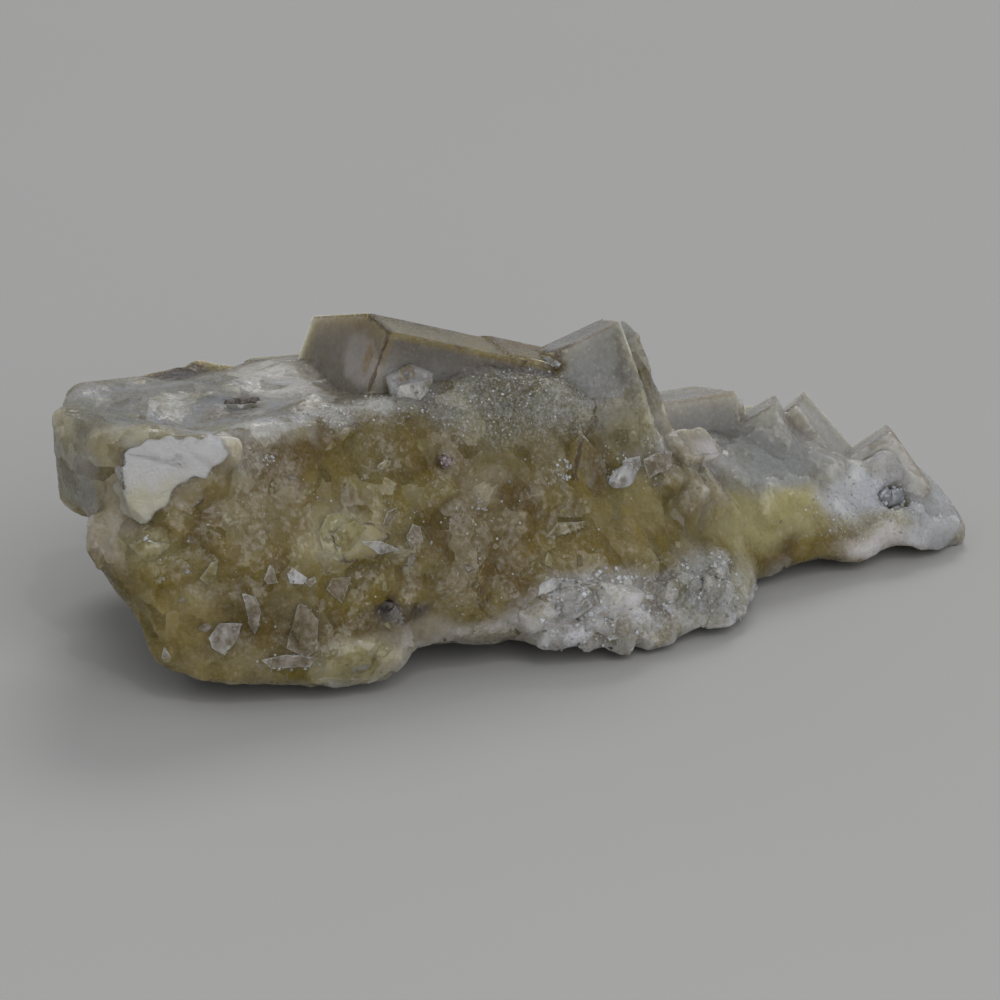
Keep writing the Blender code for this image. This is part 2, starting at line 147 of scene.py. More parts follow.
# Flakes on the broken face: name, (X, Z) corners in turn, how far it stands out, tint from 0 to 1
FLAKES = (
    ("rhomb", ((-34.6, 13.3), (-33.9, 13.8), (-31.9, 13.5), (-33.6, 12.1)), 0.1, 0.1),
    ("blade", ((-27.1, 9.5), (-26.2, 9.3), (-25.9, 8.1), (-26.2, 6.2), (-26.7, 7.3)), 0.12, 0.5),
    ("bright", ((-29.6, 6.1), (-28.8, 7.2), (-27.1, 7.1), (-27.4, 6.1), (-28.6, 4.8), (-29.4, 5.4)),
     0.12, 0.6),
    ("wedge", ((-30.0, 10.8), (-29.1, 11.9), (-28.6, 12.1), (-28.8, 10.8), (-29.4, 10.2)), 0.08, 0.1),
    ("white_chip", ((-23.6, 10.7), (-23.1, 11.0), (-22.1, 10.2), (-22.5, 9.8), (-23.5, 10.0)), 0.13, 1.0),
    ("small_chip", ((-22.4, 10.0), (-21.5, 10.2), (-21.4, 9.8), (-22.0, 9.5)), 0.11, 0.6),
    ("grey_chip", ((-25.4, 10.5), (-24.9, 11.5), (-24.6, 11.1), (-24.4, 10.1), (-25.2, 10.1)), 0.1, 0.4),
    ("pink_wedge", ((-23.0, 8.4), (-22.4, 8.2), (-21.6, 7.0), (-21.8, 4.7), (-22.7, 4.2), (-24.0, 5.0)),
     0.08, 0.3),
    ("foot_triangle", ((-32.8, 4.5), (-32.6, 5.4), (-32.2, 4.6)), 0.12, 0.6),
    ("triangle", ((-20.6, 9.1), (-20.0, 9.8), (-18.4, 9.6), (-19.4, 7.8)), 0.1, 0.35),
    ("pale_green", ((-20.4, 13.0), (-19.4, 14.1), (-17.5, 14.0), (-16.6, 12.9), (-18.7, 11.2), (-20.3, 11.7)),
     0.08, 0.05),
    ("streak", ((-17.3, 12.1), (-15.7, 11.9), (-14.1, 10.9), (-15.9, 10.9)), 0.12, 0.75),
    ("step_chip", ((-13.4, 11.7), (-12.7, 12.5), (-12.1, 12.2), (-12.2, 11.2), (-13.2, 10.8)), 0.12, 0.45),
    ("slim_chip", ((-15.3, 12.8), (-14.6, 13.7), (-13.8, 13.9), (-14.1, 13.2), (-14.8, 12.6)), 0.1, 0.4),
    ("sliver", ((-14.6, 16.6), (-14.3, 16.9), (-13.3, 17.0), (-14.2, 16.4)), 0.12, 0.2),
    ("ledge", ((-25.9, 4.2), (-24.1, 4.5), (-21.9, 4.2), (-22.4, 3.5), (-25.2, 3.5)), 0.12, 0.5),
    ("pale_lobe", ((-21.2, 4.5), (-19.9, 4.8), (-18.5, 4.8), (-16.8, 3.1), (-17.6, 1.8), (-21.4, 2.4)),
     0.07, 0.1),
    ("crest_chip", ((-11.4, 20.7), (-10.9, 21.5), (-8.2, 21.7), (-8.8, 20.8), (-9.7, 20.3)), 0.02, 0.7),
    ("crest_chip_top", ((-11.0, 22.3), (-10.1, 23.0), (-9.5, 22.6), (-9.6, 21.8), (-10.9, 21.6)), 0.02, 0.4),
    ("white_spot", ((1.8, 21.2), (2.4, 21.6), (2.9, 21.2), (2.6, 20.8)), 0.15, 1.0),
    ("long_chip", ((5.1, 12.3), (5.9, 13.0), (7.0, 13.5), (8.6, 13.5), (8.6, 12.8), (7.6, 12.0), (5.7, 11.6)),
     0.07, 0.95),
    ("long_chip_tail", ((8.9, 13.2), (10.4, 13.5), (12.2, 12.8), (11.0, 12.2), (9.0, 11.8)), 0.1, 0.5),
    ("foot_chip", ((-3.3, 6.0), (-3.0, 6.7), (-2.0, 7.0), (-0.9, 6.9), (-1.4, 6.3)), 0.13, 0.9),
    ("foot_lump", ((-1.6, 4.2), (-1.0, 5.5), (0.1, 5.8), (0.6, 5.1), (-0.5, 4.6)), 0.13, 0.8),
    ("foot_plate_left", ((-2.4, 5.9), (-1.4, 6.6), (0.1, 6.7), (-0.3, 6.0), (-1.6, 5.7)), 0.08, 0.75),
    ("foot_plate_low", ((0.2, 4.4), (1.4, 5.2), (2.6, 4.9), (2.0, 4.1)), 0.08, 0.8),
    ("foot_plate_right", ((4.6, 4.6), (6.4, 5.6), (7.4, 5.0), (6.0, 4.0)), 0.07, 0.6),
    ("foot_plate", ((0.2, 6.6), (1.6, 6.5), (2.2, 5.6), (0.8, 5.8)), 0.12, 0.7),
    ("foot_low", ((1.2, 3.9), (2.7, 4.0), (4.3, 3.2), (3.6, 2.2), (2.0, 2.4)), 0.12, 0.7),
    ("step_veil", ((-1.6, 9.7), (-0.4, 10.6), (2.0, 10.5), (1.4, 9.8)), 0.06, 0.2),
)
MILKY_CORNERS = ((-34.8, 19.2), (-34.3, 20.2), (-33.2, 20.9), (-31.9, 21.2), (-29.5, 21.0), (-27.0, 20.8),
                 (-26.9, 19.6), (-27.7, 18.8), (-28.8, 18.1), (-29.9, 18.1), (-30.6, 17.9), (-31.2, 17.2),
                 (-32.2, 16.2), (-32.9, 15.4), (-33.8, 14.9), (-34.5, 15.4), (-34.8, 17.2))
FRONT_Y = -6.5            # the broken face lies in front of this
ROUGH_GROUND = 0.4        # flakes and small crystals lie where the skin is less of a crystal face than this
FRONT_SLOPE = 0.2         # and its skin faces forwards, with a backward normal below this
CUT_MARGIN = 1.0          # how much skin is copied around a flake before it is cut
RAGGED_REACH = 0.12       # how far a ragged rim sways
RAGGED_PITCH = 4.1        # how fast it sways, in radians a millimetre
FLAKE_ROOT = 0.25         # how deep a flake reaches into the ground
FLAKE_ROUNDS = 8          # how often a flake is smoothed
MILKY_LIFT = 0.08         # how far the milky flake stands out

# Loose chips
CHIP_SEED = 4
CHIP_LEAN = 0.14          # how far a chip leans out of the skin's own direction
CHIP_SINK = 0.06          # how deep a chip sits, as a share of its size
CHIP_BEVEL = 0.02
CHIP_PALEST = 0.8         # the highest tint of a chip
# Chip shapes: name, sides of the block, and the planes that cleave it, each as a point and a normal
CHIP_SHAPES = (
    ("long_chip", (1.0, 0.55, 0.18),
     (((0.36, 0.1, 0), (0.8, 0.6, 0)), ((-0.4, -0.1, 0), (-0.9, -0.5, 0)))),
    ("rhomb_chip", (0.9, 0.8, 0.18),
     (((0.3, 0.25, 0), (0.7, 0.7, 0)), ((-0.3, -0.28, 0), (-0.6, -0.8, 0)))),
    ("wedge_chip", (0.8, 1.0, 0.2),
     (((0.1, 0.2, 0), (0.9, 0.42, 0)), ((-0.3, 0.0, 0.1), (-0.5, -0.1, 0.8)))),
)
# Fields of chips: middle, radii, count, smallest and largest size
CHIP_FIELDS = (
    ((-22.0, -15.0, 9.0), (15.0, 5.0, 9.0), 34, 0.3, 1.1),
    ((0.0, -14.0, 10.0), (13.0, 6.0, 8.0), 26, 0.3, 1.0),
    ((18.0, -11.0, 7.0), (10.0, 5.0, 5.0), 8, 0.3, 0.8),
    ((0.0, 8.0, 9.0), (34.0, 10.0, 9.0), 60, 0.5, 1.4),
)

# Frosted druse
DRUSE_SEED = 9
DRUSE_LEAN = 0.5          # how far a cube leans, and below, how deep it sits
DRUSE_SINK = 0.2
DRUSE_BEVEL = 0.05
# Fields of druse: middle, radii, count, smallest and largest size, lowest tint
DRUSE_FIELDS = (
    ((-1.0, -10.2, 19.4), (9.0, 3.0, 2.6), 360, 0.06, 0.19, 0.0),
    ((2.0, -17.8, 4.4), (6.0, 3.0, 3.0), 300, 0.1, 0.36, 0.6),
    ((12.0, -16.0, 3.6), (5.0, 3.0, 3.0), 160, 0.08, 0.26, 0.4),
    ((-23.8, -17.1, 3.9), (3.0, 2.0, 0.7), 60, 0.08, 0.22, 0.4),
    ((30.0, -8.0, 5.0), (7.0, 4.0, 3.4), 160, 0.08, 0.22, 0.5),
    ((8.0, -11.0, 13.0), (5.0, 3.0, 2.0), 100, 0.08, 0.2, 0.3),
    # The next three fields are sparkle clusters: their near-white tint is a painted glint
    ((-23.3, -12.4, 18.5), (0.5, 0.8, 0.4), 9, 0.1, 0.24, 0.9),
    ((0.9, -13.3, 14.4), (0.6, 1.2, 0.9), 30, 0.08, 0.24, 0.8),
    ((-33.4, -13.2, 13.9), (0.4, 0.6, 0.3), 7, 0.12, 0.28, 1.0),
    ((-15.0, -10.5, 20.8), (8.0, 2.6, 1.6), 160, 0.07, 0.2, 0.4),
    ((-7.0, -14.6, 12.4), (3.0, 2.0, 1.0), 30, 0.07, 0.18, 0.6),
    # A thin scatter of near-white specks over the belly, a painted glint
    ((-12.0, -15.0, 11.0), (22.0, 5.0, 7.0), 90, 0.07, 0.17, 0.8),
    ((0.0, 9.0, 12.0), (26.0, 6.0, 8.0), 200, 0.2, 0.9, 0.1),
)

PYRITE_SEED = 6
PYRITE_BEVEL = 0.04
PYRITE_LEAN = 0.35        # how far a cube of full thickness leans out of its grain's direction
# Pyrite grains: node, number of small crystals, spread along each side of the grain, their size,
# thickness and the way that they face, and the two tones of their tarnish
PYRITE_GRAINS = (
    ("pyrite_crest_sliver", 10, (1.1, 0.8, 0.3), (0.16, 0.28), 0.15,
     (0.3, -0.5, 1.0), (112, 105, 100), (124, 117, 112)),
    ("pyrite_front_streak", 130, (2.5, 1.3, 1.0), (0.1, 0.2), 0.8,
     (0.0, -1.0, 0.4), (104, 97, 94), (122, 115, 110)),
    ("pyrite_right_spot", 60, (0.9, 0.5, 0.9), (0.07, 0.13), 0.6,
     (0.0, -1.0, 0.4), (166, 168, 175), (182, 184, 190)),
    ("pyrite_upper_speck", 24, (0.62, 1.0, 0.62), (0.12, 0.26), 0.9,
     (0.0, -1.0, 0.4), (122, 108, 108), (160, 150, 150)),
)

# A crystal's colour is made brighter for the light that it swallows, less the share that its gloss adds
GAIN = 1.7
SHEEN = 0.03
DARKEST = 0.004           # limits of a linear colour
BRIGHTEST = 0.95


def tone(red, green, blue, gain=1.0, sheen=0.0):
    """Linear colour of display levels from 0 to 255, less the sheen and times the gain."""
    def linear(level):
        level /= 255
        level = level / 12.92 if level <= 0.04045 else ((level + 0.055) / 1.055) ** 2.4
        return min(max(level - sheen, DARKEST) * gain, BRIGHTEST)
    return linear(red), linear(green), linear(blue), 1.0


def crystal_tone(red, green, blue):
    """A colour of the fluorite as it looks in soft light, under the gloss of its surface."""
    return tone(red, green, blue, GAIN, SHEEN)


def named_tones(levels):
    """Crystal tones by name, from display levels by name."""
    return {name: crystal_tone(*level) for name, level in levels.items()}


# The colours of the large zones
DUST = crystal_tone(112, 107, 96)
HONEY = crystal_tone(97, 87, 47)
DEEP_HONEY = crystal_tone(84, 73, 33)
SMOKE = crystal_tone(101, 93, 73)
MIST = crystal_tone(119, 118, 112)
ROSE = crystal_tone(113, 104, 89)
FROST = crystal_tone(142, 141, 142)

# Sugary ground on the crown, the foot crust, the right end and the left rim: middle, radii, strength
GRANULAR_ZONES = (
    ((-0.5, -10.0, 19.2), (9.0, 3.6, 3.2), 1.0),
    ((6.5, -17.0, 3.8), (11.0, 4.0, 3.4), 0.7),
    ((31.0, -8.0, 4.0), (6.0, 4.0, 3.0), 0.35),
    ((-14.0, -10.6, 20.6), (7.0, 2.4, 1.2), 0.6),
)

# Where crystals and steps sink softly into the ground: name, middle, radii
MELTED = (
    ("foot of the peaked cube", (8.6, -9.2, 15.6), (4.8, 4.8, 3.4)),
    ("gap beside the peaked cube", (11.0, -7.2, 19.2), (1.9, 3.4, 6.0)),
    ("horn of the rim", (-18.2, -10.2, 20.9), (1.9, 2.2, 1.6)),
    ("foot of the dark cube", (-4.6, -9.4, 19.4), (6.8, 3.2, 2.3)),
    ("feet of the right crystals", (24.0, -4.6, 10.0), (10.0, 3.6, 1.7)),
    ("pocket of the front grain", (-15.3, -16.6, 7.2), (2.3, 2.4, 1.9)),
    ("bed of the crest sliver", (-22.1, -3.9, 20.2), (3.4, 2.4, 1.3)),
    ("hollows around the right grain", (32.8, -7.0, 6.0), (2.4, 2.6, 2.2)),
    ("step below the milky flake", (-33.4, -10.8, 15.0), (3.4, 3.4, 2.2)),
    ("hollow beside the milky flake", (-26.8, -11.4, 18.6), (2.7, 3.2, 3.2)),
)

# A hump of the rim that is worn down: middle, radii and the height it is worn to
WORN_HUMP = ((-18.0, -9.8, 21.2), (3.0, 3.0, 2.4), 20.5)

# Soft colour patches: name, middle, radii, display levels of the colour, strength
PATCHES = (
    ("pinkish upper left", (-25.0, -13.5, 15.0), (7.0, 3.5, 3.4), (106, 96, 76), 0.5),
    ("deep honey low left", (-26.0, -16.0, 7.0), (6.0, 3.5, 3.2), (84, 73, 33), 0.6),
    ("olive foot on the left", (-29.0, -15.0, 3.6), (5.0, 3.5, 2.0), (110, 101, 76), 0.7),
    ("grey brown right of the milky flake", (-25.6, -12.8, 19.4), (2.0, 2.4, 2.0), (113, 107, 98), 0.8),
    ("olive below the crown", (-13.5, -11.5, 18.0), (4.5, 3.0, 1.6), (102, 92, 62), 0.7),
    ("deep honey centre", (-8.0, -15.0, 10.0), (6.5, 3.5, 3.8), (84, 73, 33), 0.8),
    ("smoky centre", (-1.0, -12.5, 15.6), (6.5, 3.0, 1.8), (95, 87, 64), 0.7),
    ("honey by the step", (-0.6, -16.0, 8.6), (4.2, 3.0, 1.9), (99, 87, 46), 0.8),
    ("cream rim", (-29.8, -10.4, 21.3), (4.4, 2.6, 0.9), (128, 124, 106), 0.7),
    ("pink corner", (-35.4, -9.8, 13.6), (2.0, 3.5, 2.6), (146, 139, 134), 0.8),
    ("brown end patch", (-35.0, -9.8, 17.6), (1.8, 3.0, 2.0), (142, 133, 116), 0.8),
    ("olive spot on the end", (-36.2, -9.4, 16.4), (0.9, 2.0, 1.4), (97, 87, 47), 0.7),
    ("dull blue end", (-37.0, -4.8, 17.6), (1.5, 4.4, 4.6), (121, 121, 116), 0.85),
    ("green rhomb", (-33.6, -13.0, 13.0), (1.9, 2.0, 1.4), (118, 112, 80), 0.7),
    ("pale green ground", (-18.4, -15.1, 12.6), (3.2, 2.4, 2.0), (146, 139, 112), 0.85),
    ("grey foot", (-14.0, -17.5, 3.2), (4.2, 3.0, 2.4), (124, 119, 112), 0.8),
    ("grey foot by the step", (-6.0, -17.8, 3.0), (4.0, 3.0, 1.8), (118, 114, 108), 0.7),
    ("granular crown", (-1.0, -9.8, 19.8), (9.0, 3.5, 2.6), (105, 104, 96), 0.9),
    ("cloud spot", (-5.6, -13.6, 14.2), (1.8, 2.5, 1.2), (132, 126, 112), 0.6),
    ("pale flank of the peak", (9.6, -8.0, 16.8), (2.0, 3.0, 2.4), (116, 116, 106), 0.6),
    ("pink right spot", (16.1, -7.6, 11.6), (2.4, 2.0, 1.2), (148, 144, 146), 0.8),
    ("white foot crust", (1.8, -18.0, 4.0), (5.6, 3.0, 3.0), (172, 170, 170), 0.9),
    ("grey band", (12.0, -16.4, 3.8), (4.6, 3.5, 3.0), (128, 129, 128), 0.85),
    ("yellow foot of the band", (16.0, -14.6, 3.4), (2.0, 3.0, 2.2), (124, 121, 106), 0.7),
    ("yellow right", (19.5, -9.5, 6.4), (8.0, 3.5, 2.4), (137, 131, 97), 0.85),
    ("blue right", (22.5, -6.6, 9.6), (6.0, 3.5, 2.4), (119, 120, 120), 0.85),
    ("white right", (30.0, -8.0, 6.2), (3.8, 3.5, 2.0), (160, 161, 166), 0.8),
    ("pale lobe ground", (-18.9, -18.0, 3.1), (2.9, 3.0, 1.9), (150, 144, 122), 0.9),
    ("dull halo of the right grain", (33.6, -7.4, 4.9), (2.0, 2.0, 1.7), (106, 106, 107), 0.85),
    ("dull halo of the front grain", (-14.6, -16.0, 6.4), (1.9, 1.6, 1.1), (98, 94, 94), 0.8),
    ("olive right", (30.5, -9.4, 4.4), (3.6, 2.4, 0.8), (128, 126, 108), 0.5),
    ("white right foot", (31.5, -10.0, 2.4), (4.6, 3.0, 1.5), (172, 168, 168), 0.8),
    ("grey tip", (37.0, -8.5, 3.0), (3.6, 4.0, 2.8), (134, 135, 138), 0.9),
    ("end cube", (34.6, -5.4, 8.0), (3.0, 3.4, 3.0), (132, 131, 132), 0.85),
    ("pale fourth cube", (28.8, -2.0, 10.4), (3.0, 3.5, 2.6), (142, 139, 136), 0.8),
    ("front of the fourth cube", (24.0, -4.4, 11.4), (2.4, 2.0, 2.0), (134, 134, 133), 0.8),
    ("third cube", (18.4, -3.0, 13.4), (4.0, 4.0, 2.4), (119, 118, 117), 0.8),
    ("whitish cube", (-16.0, 1.4, 20.0), (4.4, 6.0, 2.4), (156, 153, 149), 0.95),
    ("dark far cube", (-22.4, 7.8, 19.2), (3.6, 3.6, 2.3), (62, 56, 51), 1.0),
    ("blue top", (-26.0, -2.5, 20.8), (11.0, 8.0, 1.8), (120, 121, 124), 0.85),
    ("dark wedge on the top", (-22.8, -1.6, 20.6), (2.8, 3.4, 1.3), (88, 89, 92), 0.85),
    ("brown streak on the top", (-24.6, -6.0, 20.4), (1.8, 1.2, 0.8), (98, 92, 86), 0.7),
    ("white rim of the top", (-20.5, -10.3, 20.8), (8.5, 2.0, 0.8), (144, 145, 148), 0.6),
    ("peaked cube", (7.0, -6.0, 20.8), (4.6, 6.0, 4.2), (114, 114, 113), 0.9),
    ("pink top of the peak", (5.4, -5.4, 23.2), (3.6, 2.6, 0.9), (119, 115, 112), 0.8),
    ("dark side of the peak", (8.9, -8.2, 20.9), (1.6, 3.4, 3.0), (90, 88, 84), 0.85),
    ("grey side of the peak", (10.6, -7.0, 18.0), (1.8, 3.5, 2.2), (108, 107, 104), 0.8),
    ("thin side of the peak", (12.2, -5.4, 20.4), (1.6, 5.0, 4.4), (104, 102, 101), 0.9),
    ("green foot of the peak", (8.0, -9.6, 15.2), (1.9, 3.0, 1.5), (108, 103, 80), 0.7),
    ("white cloud below the dark cube", (-8.6, -9.6, 20.4), (1.8, 2.0, 1.0), (122, 120, 119), 0.7),
    ("dark cloud below the dark cube", (-3.2, -9.8, 20.6), (2.2, 2.0, 1.4), (90, 88, 84), 0.8),
    ("pale cloud of the crown", (2.2, -10.0, 18.2), (2.2, 2.0, 1.2), (118, 115, 108), 0.7),
    ("grey end of the top", (-33.4, -4.2, 20.9), (3.0, 4.4, 1.4), (95, 95, 90), 0.85),
    ("lilac ground of the crest chip", (-9.9, -9.4, 21.5), (2.0, 2.2, 1.4), (124, 122, 122), 0.8),
    ("pale end strip", (-37.0, -3.6, 20.8), (1.0, 3.2, 1.5), (142, 139, 127), 0.85),
    ("dark smear of the front grain", (-14.4, -17.0, 6.5), (1.9, 1.4, 0.7), (58, 53, 53), 0.95),
    ("deep honey low centre", (-22.2, -15.8, 6.6), (2.6, 2.6, 1.8), (80, 69, 44), 0.7),
    ("olive below the granular crown", (-3.8, -11.4, 17.6), (3.4, 2.4, 1.4), (99, 95, 78), 0.7),
    ("brown corner of the end", (-35.7, -8.8, 19.6), (1.2, 2.0, 1.8), (128, 122, 103), 0.8),
    ("bright olive low left", (-31.7, -14.7, 7.7), (2.8, 3.0, 2.4), (120, 109, 76), 0.7),
    ("deep honey above the foot", (-8.6, -16.5, 7.8), (3.4, 2.6, 1.7), (84, 72, 34), 0.85),
    ("honey right of the centre", (7.7, -12.8, 10.6), (3.0, 3.0, 2.0), (117, 108, 76), 0.7),
    ("lilac streak on the end", (-36.2, -7.4, 18.0), (0.7, 1.6, 3.0), (126, 125, 126), 0.7),
    ("brown crest of the third cube", (19.6, -1.6, 14.8), (3.4, 4.0, 0.8), (120, 112, 100), 0.7),
)


def add_object(name, data):
    piece = bpy.data.objects.new(name, data)
    bpy.context.scene.collection.objects.link(piece)
    return piece


def select_only(piece):
    bpy.ops.object.select_all(action="DESELECT")
    piece.select_set(True)
    bpy.context.view_layer.objects.active = piece


def show_piece(piece):
    """Let a finished piece ride on the specimen."""
    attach(piece, "root")
    return piece


# ---------------------------------------------------------------- the plate


def copy_node(node, name):
    """A copy of a CAD node's mesh, its loose triangles merged into one skin."""
    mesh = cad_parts[node].data.copy()
    mesh.materials.clear()
    piece = add_object(name, mesh)
    select_only(piece)
    bpy.ops.object.mode_set(mode="EDIT")
    bpy.ops.mesh.select_all(action="SELECT")
    bpy.ops.mesh.remove_doubles(threshold=1e-6)
    bpy.ops.object.mode_set(mode="OBJECT")
    bpy.ops.mesh.customdata_custom_splitnormals_clear()
    return piece


def regions(body, joins):
    """The regions of neighbouring faces; joins tells whether a face belongs with a region's first."""
    body.faces.index_update()
    seen = set()
    for first in body.faces:
        if first.index in seen:
            continue
        seen.add(first.index)
        region = [first]
        for member in region:
            for edge in member.edges:
                for neighbour in edge.link_faces:
                    if neighbour.index not in seen and joins(first, neighbour):
                        seen.add(neighbour.index)
                        region.append(neighbour)
        yield region


def in_one_plane(first, second):
    return second.normal.angle(first.normal, math.pi) < math.radians(FLAT_ANGLE)


def flat_regions(body):
    """For each face, the area in square millimetres of the flat region it belongs to."""
    areas = np.zeros(len(body.faces))
    for region in regions(body, in_one_plane):
        area = sum(face.calc_area() for face in region) / MM ** 2
        for face in region:
            areas[face.index] = area
    return areas


def drop_scraps(body):
    """Delete the loose scraps beside the largest region of a cut piece of skin."""
    scraps = sorted(regions(body, lambda first, second: True), key=len)[:-1]
    bmesh.ops.delete(body, geom=[face for scrap in scraps for face in scrap], context="FACES")


def split_long_edges(piece):
    """Subdivide the skin until no edge is longer than its side of the specimen allows."""
    bpy.ops.object.mode_set(mode="EDIT")
    bpy.ops.mesh.select_mode(type="EDGE")
    for _ in range(SPLIT_ROUNDS):
        bpy.ops.mesh.select_all(action="DESELECT")
        body = bmesh.from_edit_mesh(piece.data)
        found = False
        for edge in body.edges:
            middle = (edge.verts[0].co + edge.verts[1].co) / 2
            hidden = middle.y > BACK_Y * MM or edge.verts[0].normal.z < UNDERSIDE_SLOPE
            if edge.calc_length() > (COARSE_EDGE if hidden else FINE_EDGE) * MM:
                edge.select = True
                found = True
        if not found:
            break
        bpy.ops.mesh.subdivide(number_cuts=1)
        bpy.ops.mesh.select_all(action="SELECT")
        bpy.ops.mesh.quads_convert_to_tris(quad_method="SHORTEST_DIAGONAL", ngon_method="BEAUTY")
    bpy.ops.object.mode_set(mode="OBJECT")


class Skin:
    """The plate's points as arrays in millimetres, to be moved and written back."""

    def __init__(self, mesh):
        self.mesh = mesh
        count = len(mesh.vertices)
        self.points = np.empty(count * 3)
        mesh.vertices.foreach_get("co", self.points)
        self.points = self.points.reshape(-1, 3) / MM
        self.edges = np.empty(len(mesh.edges) * 2, np.int64)
        mesh.edges.foreach_get("vertices", self.edges)
        self.edges = self.edges.reshape(-1, 2)
        self.triangles = np.empty(len(mesh.polygons) * 3, np.int64)
        mesh.polygons.foreach_get("vertices", self.triangles)
        self.triangles = self.triangles.reshape(-1, 3)
        self.degree = np.bincount(self.edges.ravel(), minlength=count)

    def normals(self):
        corners = self.points[self.triangles]
        cross = np.cross(corners[:, 1] - corners[:, 0], corners[:, 2] - corners[:, 0])
        total = np.zeros_like(self.points)
        for corner in range(3):
            np.add.at(total, self.triangles[:, corner], cross)
        return total / np.maximum(np.linalg.norm(total, axis=1, keepdims=True), 1e-12)

    def neighbour_mean(self, values):
        total = np.zeros_like(values)
        np.add.at(total, self.edges[:, 0], values[self.edges[:, 1]])
        np.add.at(total, self.edges[:, 1], values[self.edges[:, 0]])
        degree = self.degree if values.ndim == 1 else self.degree[:, None]
        return total / np.maximum(degree, 1)

    def relax(self, weight, rounds):
        for _ in range(rounds):
            self.points += (self.neighbour_mean(self.points) - self.points) * weight[:, None]

    def write(self):
        self.mesh.vertices.foreach_set("co", (self.points * MM).ravel())
        self.mesh.update()

    def store(self, name, values):
        attribute = self.mesh.attributes.new(name, "FLOAT", "POINT")
        attribute.data.foreach_set("value", values.astype(np.float32))

    def store_colour(self, name, colours):
        attribute = self.mesh.attributes.new(name, "FLOAT_COLOR", "POINT")
        colours = np.hstack((colours, np.ones((len(colours), 1))))
        attribute.data.foreach_set("color", colours.astype(np.float32).ravel())


def fractal_height(points, size, octaves, seed):
    """Fractal noise between about -1 and 1 at each point; size is its largest lump."""
    shift = Vector((seed * 17.3, seed * 5.1, seed * 9.7))
    return np.array([noise.fractal(Vector(p) / size + shift, 1.0, 2.0, octaves) for p in points])


def cleave(skin, weight, spacing, limit, seed):
    """Break the skin into small flat facets that lean towards shared cleavage directions."""
    chance = np.random.default_rng(seed)
    normals = skin.normals()
    count = int(len(skin.points) * FACET_DENSITY / spacing ** 2)
    chosen = chance.choice(len(skin.points), count, replace=False)
    stretch = np.array(FACET_STRETCH)
    tree = kdtree.KDTree(count)
    for index, point in enumerate(chosen):
        tree.insert(Vector(skin.points[point] * stretch), index)
    tree.balance()
    nearest = np.array([tree.find(Vector(p))[1] for p in skin.points * stretch])
    lattice = np.array(Euler(LATTICE_TURN).to_matrix())
    corners = np.array([(x, y, z) for x in (-1, 1) for y in (-1, 1) for z in (-1, 1)]) / math.sqrt(3)
    directions = np.vstack((corners @ lattice.T, np.vstack((np.eye(3), -np.eye(3))) @ lattice.T))
    seed_normals = normals[chosen] + chance.normal(0, FACET_SCATTER, (count, 3))
    planes = directions[np.argmax(seed_normals @ directions.T, axis=1)]
    planes = planes + normals[chosen] * FACET_LEAN + chance.normal(0, FACET_TILT, (count, 3))
    planes /= np.linalg.norm(planes, axis=1, keepdims=True)
    plane = planes[nearest]
    away = np.einsum("ij,ij->i", skin.points[chosen][nearest] - skin.points, plane)
    facing = np.maximum(np.einsum("ij,ij->i", normals, plane), 0.5)
    skin.points += normals * (np.clip(away / facing, -limit, limit) * weight)[:, None]


def along_line(line, x):
    """The height of a line that is given by its (X, height) points."""
    return np.interp(x, *zip(*line))


def belly_share(points):
    """1 on the broken face between the foot crust and the crown, and 0 away from it."""
    def inside(distance, fade):
        return np.clip(distance / fade, 0, 1)
    x, y, z = points.T
    share = inside(BELLY_FRONT_Y - y, 2.0)
    share *= inside(z - along_line(FOOT_LINE, x) - 0.4, 1.4)
    share *= inside(along_line(CROWN_LINE, x) + 0.6 - z, 1.6)
    return share * inside(x - BELLY_LEFT_X, 2.0)


def rise(values, start, end):
    """0 before start, 1 after end, and a smooth rise or fall between them."""
    share = np.clip((values - start) / (end - start), 0, 1)
    return share * share * (3 - 2 * share)


def blend(share, first, second):
    """Blend two colours, or two arrays of them, by a share for each point."""
    first, second = (np.asarray(colour)[..., :3] for colour in (first, second))
    return first + (second - first) * share[:, None]


def soft_inside(points, middle, radii, outer, inner):
    """1 well inside an ellipsoid and 0 well outside it; outer and inner are shares of its radii."""
    return rise(np.linalg.norm((points - middle) / radii, axis=1), outer, inner)


